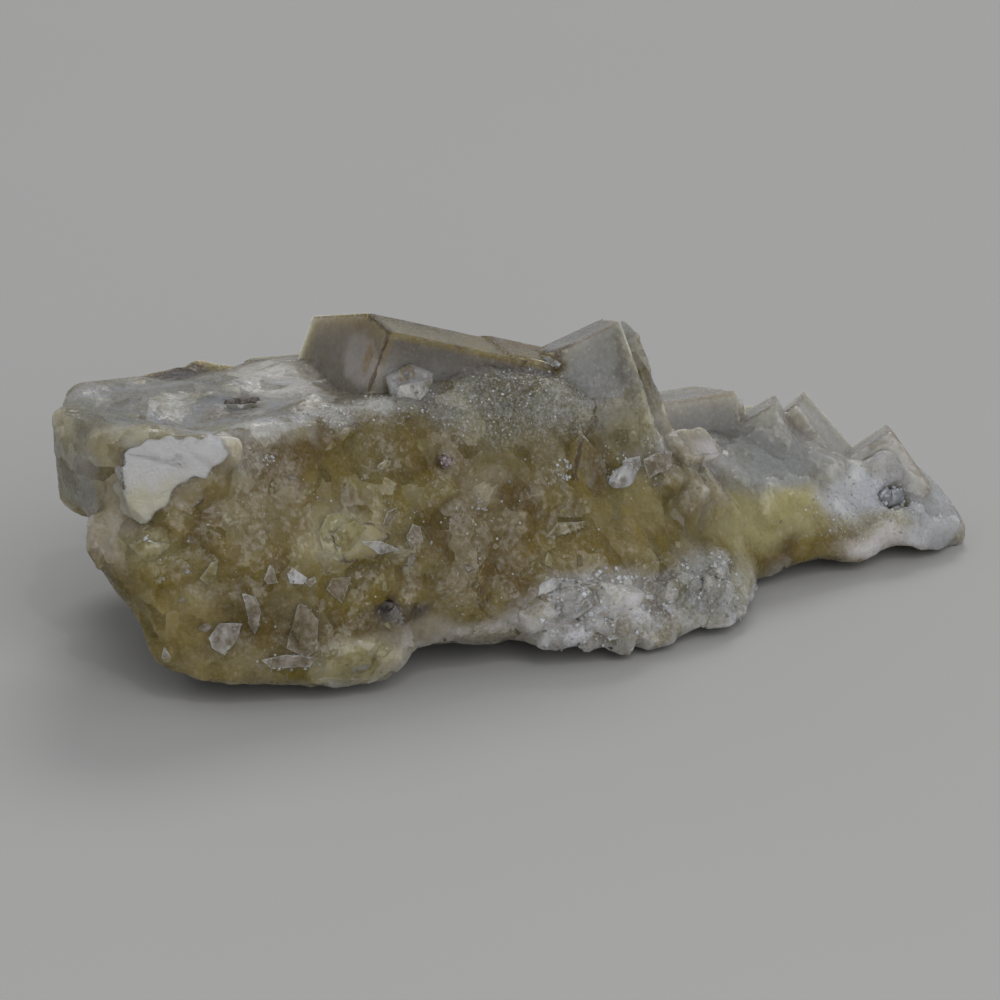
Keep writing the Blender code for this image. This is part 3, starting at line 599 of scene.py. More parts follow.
def paint_zones(skin):
    """Paint the honey core, the grey crown, the foot crust and the soft patches on the skin."""
    clouds = fractal_height(skin.points, *ZONE_CLOUDS)
    blotches = fractal_height(skin.points, *ZONE_BLOTCHES)
    shifts = np.column_stack([fractal_height(skin.points, *shift) for shift in EDGE_SHIFTS])
    edge = skin.points + shifts * EDGE_REACH
    raggedness = clouds * 2.2 + blotches * 0.9
    above_crown = skin.points[:, 2] - along_line(CROWN_LINE, skin.points[:, 0])
    above_foot = skin.points[:, 2] - along_line(FOOT_LINE, skin.points[:, 0])
    crown = rise(above_crown + raggedness, -2.4, 2.0)
    foot = rise(above_foot + raggedness, 1.2, -1.2)
    core = blend(rise(clouds, 0.05, -0.35), HONEY, DEEP_HONEY)
    core = blend(rise(clouds, 0.1, 0.5) * 0.5, core, SMOKE)
    core = blend(rise(blotches, 0.1, 0.6) * 0.3, core, ROSE)
    core = blend(rise(blotches, -0.1, -0.6) * 0.5, core, DEEP_HONEY)
    grey = blend(rise(clouds, -0.4, 0.4), MIST, DUST)
    grey = blend(rise(blotches, 0.0, 0.7) * 0.5, grey, FROST)
    crust = blend(rise(blotches, -0.3, 0.4), DUST, FROST)
    colour = blend(foot, blend(crown, core, grey), crust)
    for _, middle, radii, levels, strength in PATCHES:
        share = soft_inside(edge, middle, radii, *PATCH_RIM) * strength
        colour = blend(share, colour, crystal_tone(*levels))
    granular = np.zeros(len(colour))
    for middle, radii, strength in GRANULAR_ZONES:
        granular = np.maximum(granular, soft_inside(edge, middle, radii, *GRANULAR_RIM) * strength)
    skin.store_colour("zone_tone", colour)
    skin.store("granular", granular)


def crystal_share(skin, sides, areas):
    """How far each point belongs to a crystal face: 0 on broken ground and 1 on a large flat."""
    face_of = [sides.find_nearest(Vector(p) * MM)[2] for p in skin.points]
    low, high = CRYSTAL_AREA
    flat = np.clip((areas[face_of] - low) / (high - low), 0, 1)
    return np.clip(skin.neighbour_mean(flat) * 0.5 + flat * 0.5, 0, 1)


def melted_share(skin):
    """How far each point melts into the ground; the worn hump comes down to its level here."""
    melted = np.zeros(len(skin.points))
    for _, middle, radii in MELTED:
        melted = np.maximum(melted, soft_inside(skin.points, middle, radii, *MELT_RIM))
    middle, radii, level = WORN_HUMP
    worn = soft_inside(skin.points, middle, radii, *MELT_RIM)
    skin.points[:, 2] -= np.maximum(skin.points[:, 2] - level, 0) * worn
    return np.maximum(melted, worn)


def shape_ground(skin, flat, rough, melted):
    """Melt, cleave and roughen the broken ground, and give the crystal faces their faint hillocks."""
    skin.relax(rough * 0.5, GROUND_ROUNDS)
    skin.relax(melted * rough * 0.5, MELT_ROUNDS)
    skin.relax(flat * (skin.points[:, 0] > RIGHT_END_X) * 0.35, RIGHT_END_ROUNDS)
    skin.relax(rough * belly_share(skin.points) * 0.5, BELLY_ROUNDS)
    belly = belly_share(skin.points)
    level_top = rise(skin.points[:, 2], 18.0, 19.5) * rise(skin.normals()[:, 2], 0.4, 0.8)
    uneven = rough * (0.4 - 0.25 * level_top)
    cleave(skin, uneven, *LARGE_FACETS)
    skin.relax(rough * belly * 0.4, 2)
    cleave(skin, uneven, *SMALL_FACETS)
    foot = rise(skin.points[:, 2] - along_line(FOOT_LINE, skin.points[:, 0]), 1.0, -0.5)
    cleave(skin, rough * foot * (skin.points[:, 1] < 0) * 0.6, *CRUST_FACETS)
    normals = skin.normals()
    grain = fractal_height(skin.points, *ROUGH_GRAIN)
    skin.points += normals * (grain * (rough * GRAIN_HEIGHT + flat * FACE_WOBBLE))[:, None]


def make_plate():
    """The fluorite plate with crisp crystal faces between rough, cleaved ground."""
    plate = copy_node("fluorite", "fluorite_plate")
    body = bmesh.new()
    body.from_mesh(plate.data)
    body.faces.ensure_lookup_table()
    areas = flat_regions(body)
    sides = BVHTree.FromBMesh(body)
    body.free()
    split_long_edges(plate)

    skin = Skin(plate.data)
    resting = skin.points[:, 2] < RESTING_HEIGHT
    flat = crystal_share(skin, sides, areas)
    melted = melted_share(skin)
    flat *= 1 - melted
    rough = (1 - flat) * ~resting
    shape_ground(skin, flat, rough, melted)
    low_corner, high_corner = (np.array(corner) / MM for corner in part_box("fluorite"))
    skin.points = np.clip(skin.points, low_corner + BOX_MARGIN, high_corner - BOX_MARGIN)
    skin.points[resting, 2] = 0.0

    # How far each point stands out of its neighbours: the finish reads it for edge wear, a painted highlight
    # on ridges and painted shade in hollows
    bend = np.einsum("ij,ij->i", skin.points - skin.neighbour_mean(skin.points), skin.normals())
    bend = np.clip(bend / FULL_BEND, -1, 1)
    skin.write()
    skin.store("crystal_face", flat)
    paint_zones(skin)
    skin.store("edge_wear_and_painted_light", (bend + skin.neighbour_mean(bend)) / 2)
    select_only(plate)
    bpy.ops.object.shade_smooth_by_angle(angle=math.radians(SHARP_ANGLE))
    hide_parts("fluorite")
    return show_piece(plate)


# ---------------------------------------------------------------- chips and druse


def make_block(name, stretch, cuts, bevel):
    """A unit block, stretched, with corners cleaved off by planes and its edges softened."""
    bpy.ops.object.select_all(action="DESELECT")
    bpy.ops.mesh.primitive_cube_add(size=1.0)
    block = bpy.context.active_object
    block.name = name
    bpy.ops.object.mode_set(mode="EDIT")
    bpy.ops.transform.resize(value=stretch)
    for point, normal in cuts:
        bpy.ops.mesh.select_all(action="SELECT")
        bpy.ops.mesh.bisect(plane_co=point, plane_no=normal, use_fill=True, clear_outer=True)
    bpy.ops.mesh.select_all(action="SELECT")
    bpy.ops.mesh.bevel(offset=bevel, segments=1, affect="EDGES")
    bpy.ops.mesh.normals_make_consistent(inside=False)
    bpy.ops.object.mode_set(mode="OBJECT")
    return block


def join_copies(name, placements):
    """One mesh of many placed copies; a placement is a block, where its copy goes and its tint."""
    points, faces, tints = [], [], []
    for block, matrix, tint in placements:
        first = len(points)
        points += [matrix @ vertex.co for vertex in block.data.vertices]
        faces += [[first + corner for corner in face.vertices] for face in block.data.polygons]
        tints += [tint] * len(block.data.vertices)
    mesh = bpy.data.meshes.new(name)
    mesh.from_pydata(points, [], faces)
    mesh.attributes.new("tint", "FLOAT", "POINT").data.foreach_set("value", tints)
    return add_object(name, mesh)


class Ground:
    """The triangles of a finished skin in millimetres, to lay flakes and small crystals on."""

    def __init__(self, piece):
        skin = Skin(piece.data)
        self.points = skin.points
        self.triangles = skin.triangles
        corners = self.points[self.triangles]
        self.centres = corners.mean(axis=1)
        normals = np.cross(corners[:, 1] - corners[:, 0], corners[:, 2] - corners[:, 0])
        self.normals = normals / np.maximum(np.linalg.norm(normals, axis=1, keepdims=True), 1e-12)
        flat = np.empty(len(self.points), np.float32)
        piece.data.attributes["crystal_face"].data.foreach_get("value", flat)
        self.rough = flat[self.triangles].mean(axis=1) < ROUGH_GROUND

    def spots(self, middle, radii, count, chance):
        """Random places and normals on the rough skin inside an ellipsoid."""
        away = np.linalg.norm((self.centres - middle) / radii, axis=1)
        inside = np.nonzero((away < 1) & self.rough)[0]
        for index in chance.choice(inside, min(count, len(inside)), replace=False):
            yield Vector(self.centres[index]), Vector(self.normals[index])

    def front_part(self, corners, ragged):
        """A copy of the skin around a polygon on the broken face, cut finely to it if it is ragged."""
        flat = self.centres[:, (0, 2)]
        low = np.min(corners, axis=0) - CUT_MARGIN
        high = np.max(corners, axis=0) + CUT_MARGIN
        chosen = np.all((flat > low) & (flat < high), axis=1)
        chosen &= (self.centres[:, 1] < FRONT_Y) & (self.normals[:, 1] < FRONT_SLOPE)
        used, index = np.unique(self.triangles[chosen], return_inverse=True)
        mesh = bpy.data.meshes.new("part")
        mesh.from_pydata((self.points[used] * MM).tolist(), [], index.reshape(-1, 3).tolist())
        body = bmesh.new()
        body.from_mesh(mesh)
        bpy.data.meshes.remove(mesh)
        if ragged:
            bmesh.ops.subdivide_edges(body, edges=body.edges[:], cuts=2, use_grid_fill=True)
            middles = np.array([face.calc_center_median() for face in body.faces])[:, (0, 2)] / MM
            sway = RAGGED_REACH * np.sin(middles[:, ::-1] * RAGGED_PITCH)
            inside = inside_polygon(middles + sway, corners)
            outer = [face for face, kept in zip(body.faces, inside) if not kept]
            bmesh.ops.delete(body, geom=outer, context="FACES")
        return body


def inside_polygon(places, corners):
    """Which of the flat places lie inside a polygon."""
    inside = np.zeros(len(places), bool)
    for (x, z), (next_x, next_z) in zip(corners, corners[1:] + corners[:1]):
        crosses = (z > places[:, 1]) != (next_z > places[:, 1])
        if z != next_z:
            reach = (next_x - x) * (places[:, 1] - z) / (next_z - z) + x
            inside ^= crosses & (places[:, 0] < reach)
    return inside


def cut_crisply(body, corners):
    """Cut a piece of skin along each side of a polygon, seen from the front."""
    loop = list(zip(corners, corners[1:] + corners[:1]))
    turn = math.copysign(1.0, sum(x * next_z - next_x * z for (x, z), (next_x, next_z) in loop))
    for (x, z), (next_x, next_z) in loop:
        outwards = Vector((next_z - z, 0.0, x - next_x)) * turn
        geometry = body.verts[:] + body.edges[:] + body.faces[:]
        bmesh.ops.bisect_plane(body, geom=geometry, dist=1e-7, plane_co=Vector((x, 0.0, z)) * MM,
                               plane_no=outwards, clear_outer=True)


def peel(ground, name, corners, lift, tint, ragged=False):
    """A thin flake that follows the broken face inside a polygon, its rim marked for the finish."""
    body = ground.front_part(corners, ragged)
    if not ragged:
        cut_crisply(body, corners)
    drop_scraps(body)
    for _ in range(FLAKE_ROUNDS):
        bmesh.ops.smooth_vert(body, verts=body.verts, factor=0.5, use_axis_x=False, use_axis_y=True,
                              use_axis_z=False)
    rim = body.verts.layers.float.new("rim")
    tints = body.verts.layers.float.new("tint")
    for vertex in body.verts:
        vertex[rim] = float(vertex.is_boundary)
        vertex[tints] = tint
    mesh = bpy.data.meshes.new(name)
    body.to_mesh(mesh)
    body.free()
    flake = add_object(name, mesh)
    solid = flake.modifiers.new("Thickness", "SOLIDIFY")
    solid.thickness = (lift + FLAKE_ROOT) * MM
    solid.offset = (lift - FLAKE_ROOT) / (lift + FLAKE_ROOT)
    select_only(flake)
    bpy.ops.object.modifier_apply(modifier=solid.name)
    bpy.ops.object.shade_smooth_by_angle(angle=math.radians(SHARP_ANGLE))
    return flake


def lay_flakes(ground):
    """Named flakes of cleaved fluorite on the broken face, joined into one piece."""
    flakes = [peel(ground, name, corners, lift, tint) for name, corners, lift, tint in FLAKES]
    bpy.ops.object.select_all(action="DESELECT")
    for flake in flakes:
        flake.select_set(True)
    bpy.context.view_layer.objects.active = flakes[0]
    bpy.ops.object.join()
    flakes[0].name = "cleavage_flakes"
    return show_piece(flakes[0])


def placed(place, axis, spin, size):
    """Where a unit block goes to stand on the place along the axis, spun about it and sized."""
    turn = axis.to_track_quat("Z", "Y").to_matrix().to_4x4() @ Matrix.Rotation(spin, 4, "Z")
    return Matrix.Scale(MM, 4) @ Matrix.Translation(place) @ turn @ Matrix.Scale(size, 4)


def scatter_chips(ground):
    """Thin cleavage chips that lie flat on the broken ground, each a pale polygon with crisp edges."""
    blocks = [make_block(*shape, CHIP_BEVEL) for shape in CHIP_SHAPES]
    chance = np.random.default_rng(CHIP_SEED)
    placements = []
    for middle, radii, count, smallest, largest in CHIP_FIELDS:
        for place, normal in ground.spots(middle, radii, count, chance):
            lean = Vector(chance.normal(0, CHIP_LEAN, 3))
            size = smallest + (largest - smallest) * chance.random() ** 2
            place -= normal * size * CHIP_SINK
            block = blocks[int(chance.integers(len(blocks)))]
            matrix = placed(place, normal + lean, chance.uniform(0, FULL_TURN), size)
            placements.append((block, matrix, chance.random() ** 2 * CHIP_PALEST))
    chips = join_copies("loose_chips", placements)
    for block in blocks:
        bpy.data.objects.remove(block)
    return show_piece(chips)


def grow_druse(ground):
    """Tiny frosted cubes that crust parts of the skin like sugar."""
    block = make_block("druse_cube", (1, 1, 1), (), DRUSE_BEVEL)
    chance = np.random.default_rng(DRUSE_SEED)
    placements = []
    for middle, radii, count, smallest, largest, palest in DRUSE_FIELDS:
        for place, normal in ground.spots(middle, radii, count, chance):
            lean = Vector(chance.normal(0, DRUSE_LEAN, 3))
            size = smallest + (largest - smallest) * chance.random() ** 2
            place -= normal * size * DRUSE_SINK
            matrix = placed(place, normal + lean, chance.uniform(0, FULL_TURN), size)
            placements.append((block, matrix, palest + (1 - palest) * chance.random() ** 2))
    druse = join_copies("frosted_druse", placements)
    bpy.data.objects.remove(block)
    return show_piece(druse)


def grow_pyrite(node, count, spread, sizes, thickness, facing, chance):
    """A grain of pyrite that fills its pocket, with small cubes grown over it."""
    body = copy_node(node, node + "_crystals")
    block = make_block("pyrite_cube", (1, 1, thickness), (), PYRITE_BEVEL)
    low, high = (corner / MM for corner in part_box(node))
    middle = (low + high) / 2
    for vertex in body.data.vertices:
        vertex.co = [(c + (p / MM - c) * share) * MM for c, p, share in zip(middle, vertex.co, spread)]
    reach = [share * length / 2 for share, length in zip(spread, high - low)]
    placements = []
    for _ in range(count):
        offset = Vector(chance.uniform(-1, 1, 3))
        if offset.length > 1:
            offset.normalize()
        size = chance.uniform(*sizes) * min(high - low)
        place = middle + Vector(share * length for share, length in zip(offset, reach))
        lean = Vector(facing) + Vector(chance.normal(0, PYRITE_LEAN * thickness, 3))
        matrix = placed(place, lean, chance.uniform(0, QUARTER_TURN), size)
        placements.append((block, matrix, chance.random()))
    cluster = join_copies(node + "_cubes", placements)
    bpy.data.objects.remove(block)
    select_only(body)
    bpy.ops.object.mode_set(mode="EDIT")
    bpy.ops.mesh.select_all(action="SELECT")
    bpy.ops.mesh.subdivide(number_cuts=2, smoothness=0.15)
    bpy.ops.object.mode_set(mode="OBJECT")
    bpy.ops.object.shade_smooth()
    cluster.select_set(True)
    bpy.ops.object.join()
    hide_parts(node)
    return show_piece(body)


# ---------------------------------------------------------------- materials


class Wire:
    """An output socket of a finish, with the operators that shader maths needs."""

    def __init__(self, finish, socket):
        self.finish = finish
        self.socket = socket

    def __add__(self, other):
        return self.finish.maths("ADD", self, other)

    def __sub__(self, other):
        return self.finish.maths("SUBTRACT", self, other)

    def __mul__(self, other):
        return self.finish.maths("MULTIPLY", self, other)

    def __rsub__(self, other):
        return self.finish.maths("SUBTRACT", other, self)

    __radd__ = __add__
    __rmul__ = __mul__

    def at_most(self, limit):
        return self.finish.maths("MINIMUM", self, limit)

    def step(self, start, end, most=1.0):
        """0 before start, the most after end, and a smooth rise or fall between them."""
        settings = {"interpolation_type": "SMOOTHSTEP"}
        return self.finish.add("ShaderNodeMapRange", settings, {0: self, 1: start, 2: end, 4: most})


class Finish:
    """A material and the places on the piece that its patterns read."""

    def __init__(self, name):
        self.material = bpy.data.materials.new(name)
        self.material.use_nodes = True
        self.tree = self.material.node_tree
        self.tree.nodes.clear()
        self.output = self.tree.nodes.new("ShaderNodeOutputMaterial")
        coordinates = self.add("ShaderNodeTexCoord", output="Object")
        self.place = self.vector("SCALE", coordinates, scale=1 / MM)

    def add(self, kind, settings=None, inputs=None, output=0):
        """A node of the kind, with its settings, the values or wires of its sockets, and one output."""
        node = self.tree.nodes.new(kind)
        for key, value in (settings or {}).items():
            setattr(node, key, value)
        for key, value in (inputs or {}).items():
            if isinstance(key, str):
                socket = next(s for s in node.inputs if s.name == key and s.enabled)
            else:
                socket = node.inputs[key]
            if isinstance(value, Wire):
                self.tree.links.new(value.socket, socket)
            elif value is not None:
                socket.default_value = value
        if isinstance(output, str):
            return Wire(self, next(s for s in node.outputs if s.name == output and s.enabled))
        return Wire(self, [s for s in node.outputs if s.enabled][output])

    def maths(self, operation, first, second=None):
        return self.add("ShaderNodeMath", {"operation": operation}, {0: first, 1: second})

    def vector(self, operation, first, second=None, scale=None):
        output = "Value" if operation in ("LENGTH", "DOT_PRODUCT") else "Vector"
        inputs = {0: first, 1: second, 3: scale}
        return self.add("ShaderNodeVectorMath", {"operation": operation}, inputs, output)

    def mix(self, share, first, second):
        """Blend two colours; share is how much of the second one shows."""
        inputs = {"Factor": share, "A": first, "B": second}
        return self.add("ShaderNodeMix", {"data_type": "RGBA"}, inputs)

    def clouds(self, size, detail=3.0, roughness=0.55, place=None, output="Fac"):
        inputs = {"Vector": place or self.place, "Scale": 1 / size, "Detail": detail, "Roughness": roughness}
        return self.add("ShaderNodeTexNoise", None, inputs, output)

    def warped(self, size, reach):
        """The place, shifted by clouds of the given size by up to about the given reach."""
        clouds = self.clouds(size, 1.0, output="Color")
        shift = self.add("ShaderNodeVectorMath", {"operation": "MULTIPLY_ADD"}, {
            0: clouds, 1: (2 * reach,) * 3, 2: (-reach,) * 3})
        return self.vector("ADD", self.place, shift)

    def attribute(self, name, output="Fac"):
        return self.add("ShaderNodeAttribute", {"attribute_name": name}, output=output)

    def coordinates(self, vector):
        """The X, Y and Z of a vector."""
        outputs = self.add("ShaderNodeSeparateXYZ", None, {0: vector}).socket.node.outputs
        return [Wire(self, output) for output in outputs]

    def facets(self, size, turn, place=None):
        """Height of flat facets that tilt at random, and the random shade of each one."""
        place = place or self.warped(size * 0.7, size * 0.16)
        turned = self.add("ShaderNodeMapping", None, {"Vector": place, "Rotation": turn})
        inputs = {"Vector": turned, "Scale": 1 / size}
        node = self.add("ShaderNodeTexVoronoi", {"distance": "CHEBYCHEV"}, inputs, "Color")
        outputs = node.socket.node.outputs
        centre = Wire(self, outputs["Position"])
        tilt = self.vector("SUBTRACT", node, MIDDLE_COLOUR)
        height = self.vector("DOT_PRODUCT", self.vector("SUBTRACT", turned, centre), tilt)
        shade = self.add("ShaderNodeSeparateColor", None, {0: node}, "Red")
        return height, shade

    def bump(self, height, distance, strength=1.0):
        inputs = {"Height": height, "Distance": distance * MM, "Strength": strength}
        return self.add("ShaderNodeBump", None, inputs)

    def cells(self, size):
        """Cells of the given size: the distance from their middles, their random colour and its red."""
        inputs = {"Vector": self.place, "Scale": 1 / size}
        distance = self.add("ShaderNodeTexVoronoi", None, inputs, "Distance")
        colour = Wire(self, distance.socket.node.outputs["Color"])
        return distance, colour, self.add("ShaderNodeSeparateColor", None, {0: colour}, "Red")

    def glitter(self, normal, colour, reach):
        """Tilt the normal by the random colour of cells, so that single specks flash."""
        tilt = self.vector("SCALE", self.vector("SUBTRACT", colour, MIDDLE_COLOUR), scale=reach)
        return self.vector("NORMALIZE", self.vector("ADD", normal, tilt))

    def principled(self, inputs):
        return self.add("ShaderNodeBsdfPrincipled", None, inputs)

    def cloudy(self, colour, roughness, normal, weight, radius, scale):
        """Fluorite that scatters light inside; the radius holds how far each colour reaches."""
        return self.principled({
            "Base Color": colour, "Roughness": roughness, "IOR": FLUORITE_IOR, "Normal": normal,
            "Subsurface Weight": weight, "Subsurface Radius": radius, "Subsurface Scale": scale})

    def partly_clear(self, clearness, cloudy, normal, glass, depths, density):
        """Cloudy fluorite, clear by a share, with the tints of its glass and of its depths."""
        clear = self.principled({
            "Base Color": glass, "Roughness": GLASS_ROUGHNESS, "IOR": FLUORITE_IOR, "Normal": normal,
            "Transmission Weight": 1.0})
        surface = self.add("ShaderNodeMixShader", None, {0: clearness, 1: cloudy, 2: clear})
        absorption = self.add("ShaderNodeVolumeAbsorption", None, {"Color": depths, "Density": density})
        return self.finish_with(surface, absorption)

    def finish_with(self, surface, volume=None):
        self.tree.links.new(surface.socket, self.output.inputs["Surface"])
        if volume:
            self.tree.links.new(volume.socket, self.output.inputs["Volume"])
        return self.material


def patch_mask(finish, place, middle, radii, softness, strength):
    """The strength inside an ellipsoid and 0 outside it, with a soft edge."""
    shares = [1 / radius for radius in radii]
    shift = [-centre / radius for centre, radius in zip(middle, radii)]
    away = finish.add("ShaderNodeVectorMath", {"operation": "MULTIPLY_ADD"}, {0: place, 1: shares, 2: shift})
    return finish.vector("LENGTH", away).step(1 + softness, 1 - softness, strength)


# The dark cube: its upper front left corner, its lean and its tones
CUBE_CORNER = (-11.4, -8.0, 25.7)
CUBE_TURN = (math.radians(4), math.radians(19), 0.0)
CUBE_TONES = named_tones({
    "front": (110, 107, 104),
    "left": (110, 103, 94),
    "head of the front": (84, 79, 76),
    "foot of the left": (93, 89, 77),
    "dust of the left": (110, 99, 80),
    "near top": (119, 112, 92),
    "far top": (111, 103, 80),
    "rim of the top": (88, 76, 58),
    "front edge": (94, 86, 66),
    "brown dust": (78, 70, 56),
    "spots": (74, 66, 52),
    "pale dust": (138, 133, 121),
    "veil": (140, 134, 130),
    "stain": (124, 106, 78),
    "block": (120, 110, 80),
    "back": (74, 69, 61),
})


def dark_cube_colour(finish, colour, edge, dust, spots):
    """Smoky sides under a brownish yellow top on the largest cube, with a veiled corner."""
    tones = CUBE_TONES
    local = finish.add("ShaderNodeMapping", {"vector_type": "TEXTURE"}, {
        "Vector": finish.place, "Location": CUBE_CORNER, "Rotation": CUBE_TURN})
    across, deep, up = finish.coordinates(local)
    inside = across.step(-1.6, -1.1) * deep.step(-0.9, -0.4) * across.step(15.9, 15.2) * up.step(0.9, 0.5)
    left = across.step(0.8, 0.3)
    side = finish.mix(left, tones["front"], tones["left"])
    side = finish.mix(up.step(-2.2, -0.6) * (1 - left) * 0.6, side, tones["head of the front"])
    side = finish.mix(up.step(-3.0, -5.5) * left * 0.6, side, tones["foot of the left"])
    side = finish.mix((up + dust * 1.4).step(-2.4, -0.4) * left * 0.8, side, tones["dust of the left"])
    top = finish.mix((dust + across * 0.05).step(0.45, 0.9), tones["near top"], tones["far top"])
    rim = deep.step(1.6, 3.8) + across.step(6.0, 10.0) * 0.7
    top = finish.mix((dust + rim * 0.24).step(0.6, 0.74) * 0.75, top, tones["rim of the top"])
    top = finish.mix(deep.step(0.5, 0.1) * 0.75, top, tones["front edge"])
    cube = finish.mix((up + dust * 0.4).step(-0.4, -0.2), side, top)
    cube = finish.mix(dust.step(0.56, 0.66) * 0.5, cube, tones["brown dust"])
    cube = finish.mix(spots * (up.step(-0.9, -0.3) * 0.3 + 0.25), cube, tones["spots"])
    cube = finish.mix(dust.step(0.45, 0.36) * 0.35, cube, tones["pale dust"])
    marks = (
        ("veil", edge, (-12.2, -4.8, 22.4), (1.7, 3.0, 1.9), 0.25, 0.85),
        ("stain", edge, (-12.3, -5.8, 22.7), (0.9, 0.7, 1.3), 0.4, 0.8),
        ("block", finish.place, (-3.3, -5.5, 23.0), (1.7, 2.4, 0.9), 0.1, 0.6),
    )
    for name, *patch in marks:
        cube = finish.mix(patch_mask(finish, *patch), cube, tones[name])
    back = deep.step(4.0, 5.0) * (1 - left)
    cube = finish.mix(back * 0.9, cube, tones["back"])
    low = up.step(-3.6, -1.6) + (left + back) * up.step(-8.5, -6.5)
    return finish.mix(inside * low.at_most(1.0), colour, cube)


# Sizes of the stone's patterns
FACET_SIZE = 2.4
BLOTCH_SIZE = 0.9
SUGAR_SIZE = 0.3
SPECK_SIZE = 0.32
STONE_TONES = named_tones({
    "warm veil": (128, 123, 101),
    "cool veil": (136, 135, 134),
    "depth": (82, 74, 48),
    "cloud": (146, 145, 146),
    "brown edge": (66, 58, 46),
    "grey edge": (102, 96, 89),
    "sugar": (150, 150, 152),
    "glint": (170, 169, 168),
})
SHADOW_TINT = (0.55, 0.53, 0.46, 1.0)
# Tints of the clear glass and of the light that goes through, and how soon it is swallowed
STONE_GLASS = ((0.93, 0.91, 0.84, 1.0), (0.8, 0.72, 0.35, 1.0), 120.0)
# Tips of crystals that clear to glass: middle, radii, softness of the edge, how clear
CLEAR_TIPS = (
    ((-5.0, -5.5, 25.5), (9.5, 8.0, 3.8), 0.5, 0.32),
    ((7.5, -4.0, 24.0), (4.0, 6.0, 3.2), 0.5, 0.3),
    ((27.5, -2.5, 11.4), (9.5, 5.0, 3.4), 0.4, 0.25),
)


def fluorite_finish():
    """Cloudy translucent fluorite that clears to smoky glass in the tips of the crystals."""
    finish = Finish("translucent_fluorite")
    tones = STONE_TONES
    face = finish.attribute("crystal_face")
    # Bend of the skin, for edge wear, painted highlights on ridges and painted shade in hollows
    wear_and_painted_light = finish.attribute("edge_wear_and_painted_light")
    rough = 1 - face.step(0.0, 0.8, 0.95)
    edge = finish.warped(1.7, 0.9)
    blotches = finish.clouds(BLOTCH_SIZE, 3.0, 0.6)
    grain = finish.clouds(SUGAR_SIZE, 2.0, 0.85)
    granular = finish.attribute("granular") * rough
    facet, shade = finish.facets(FACET_SIZE, LATTICE_TURN, finish.place)
    speck, flash, chance = finish.cells(SPECK_SIZE)

    # Facets of the broken ground, pale or deep, warm on the left and grey on the right
    across, _, _ = finish.coordinates(finish.place)
    broken = rough * across.step(17.0, 10.0, 0.65) + rough * 0.35
    veil = facet.step(0.05, 0.9, 0.24) + shade.step(0.55, 0.95, 0.24) + blotches.step(0.52, 0.8, 0.12)
    veil_tone = finish.mix(across.step(8.0, 14.0), tones["warm veil"], tones["cool veil"])
    colour = finish.mix(veil * broken, finish.attribute("zone_tone", "Color"), veil_tone)
    depth = facet.step(-0.1, -0.8, 0.4) + shade.step(0.4, 0.05, 0.35) + blotches.step(0.5, 0.25, 0.25)
    colour = finish.mix(depth * broken, colour, tones["depth"])

    # Crystal faces: the dark cube, pale clouds and browned edges
    spots = speck.step(0.42, 0.22) * chance.step(0.5, 0.65)
    colour = dark_cube_colour(finish, colour, edge, grain, spots)
    cloud = blotches.step(0.5, 0.72, 0.3) * (1 - rough)
    colour = finish.mix(cloud, colour, tones["cloud"])
    worn = (wear_and_painted_light + blotches * 0.5).step(0.25, 0.5, 0.85) * (1 - rough)
    worn_tone = finish.mix(across.step(3.0, 5.0), tones["brown edge"], tones["grey edge"])
    colour = finish.mix(worn, colour, worn_tone)

    # Sugary grain, with painted shade in its gaps and in the hollows of the skin, and painted glints
    colour = finish.mix(grain.step(0.5, 0.68) * (granular * 0.45 + 0.1), colour, tones["sugar"])
    shadow = finish.mix(1.0, colour, SHADOW_TINT)
    shadow.socket.node.blend_type = "MULTIPLY"
    # dark is painted shade: in the gaps between sugar grains and in the hollows of the broken ground
    dark = grain.step(0.48, 0.32) * (granular * 0.5 + 0.27) + wear_and_painted_light.step(-0.15, -0.9, 0.25) * rough
    colour = finish.mix(dark.at_most(1.0), colour, shadow)
    # glint and pale are painted highlights: glints on specks, a highlight along ridges of the broken ground
    # and faint glints on crystal faces
    glint = speck.step(0.34, 0.16) * (chance + blotches).step(1.4, 1.5) * (granular * 0.7 + 0.2)
    pale = (glint + wear_and_painted_light.step(0.2, 0.9, 0.18)) * rough + spots * (1 - rough) * 0.16
    colour = finish.mix(pale.at_most(0.9), colour, tones["glint"])

    height = (facet * 0.28 + grain * (granular * 0.12 + 0.04)) * rough
    normal = finish.glitter(finish.bump(height, 1.0), flash, rough * 0.2 + granular * 0.36)
    gloss = chance * 0.3 + shade * 0.15 + 0.06
    cloudy = finish.cloudy(colour, gloss, normal, 1.0, (1.0, 0.95, 0.7), 0.008)
    clearness = sum(patch_mask(finish, edge, *tip) for tip in CLEAR_TIPS)
    return finish.partly_clear(clearness, cloudy, normal, *STONE_GLASS)


FLAKE_TONES = named_tones({
    "yellow green": (124, 118, 90),
    "pinkish": (108, 100, 88),
    "white": (154, 153, 154),
    "pale veins": (150, 147, 141),
    "honey veins": (96, 86, 60),
    "rim": (178, 176, 170),
})
FLAKE_GLASS = ((0.96, 0.95, 0.9, 1.0), (0.85, 0.78, 0.5, 1.0), 60.0)


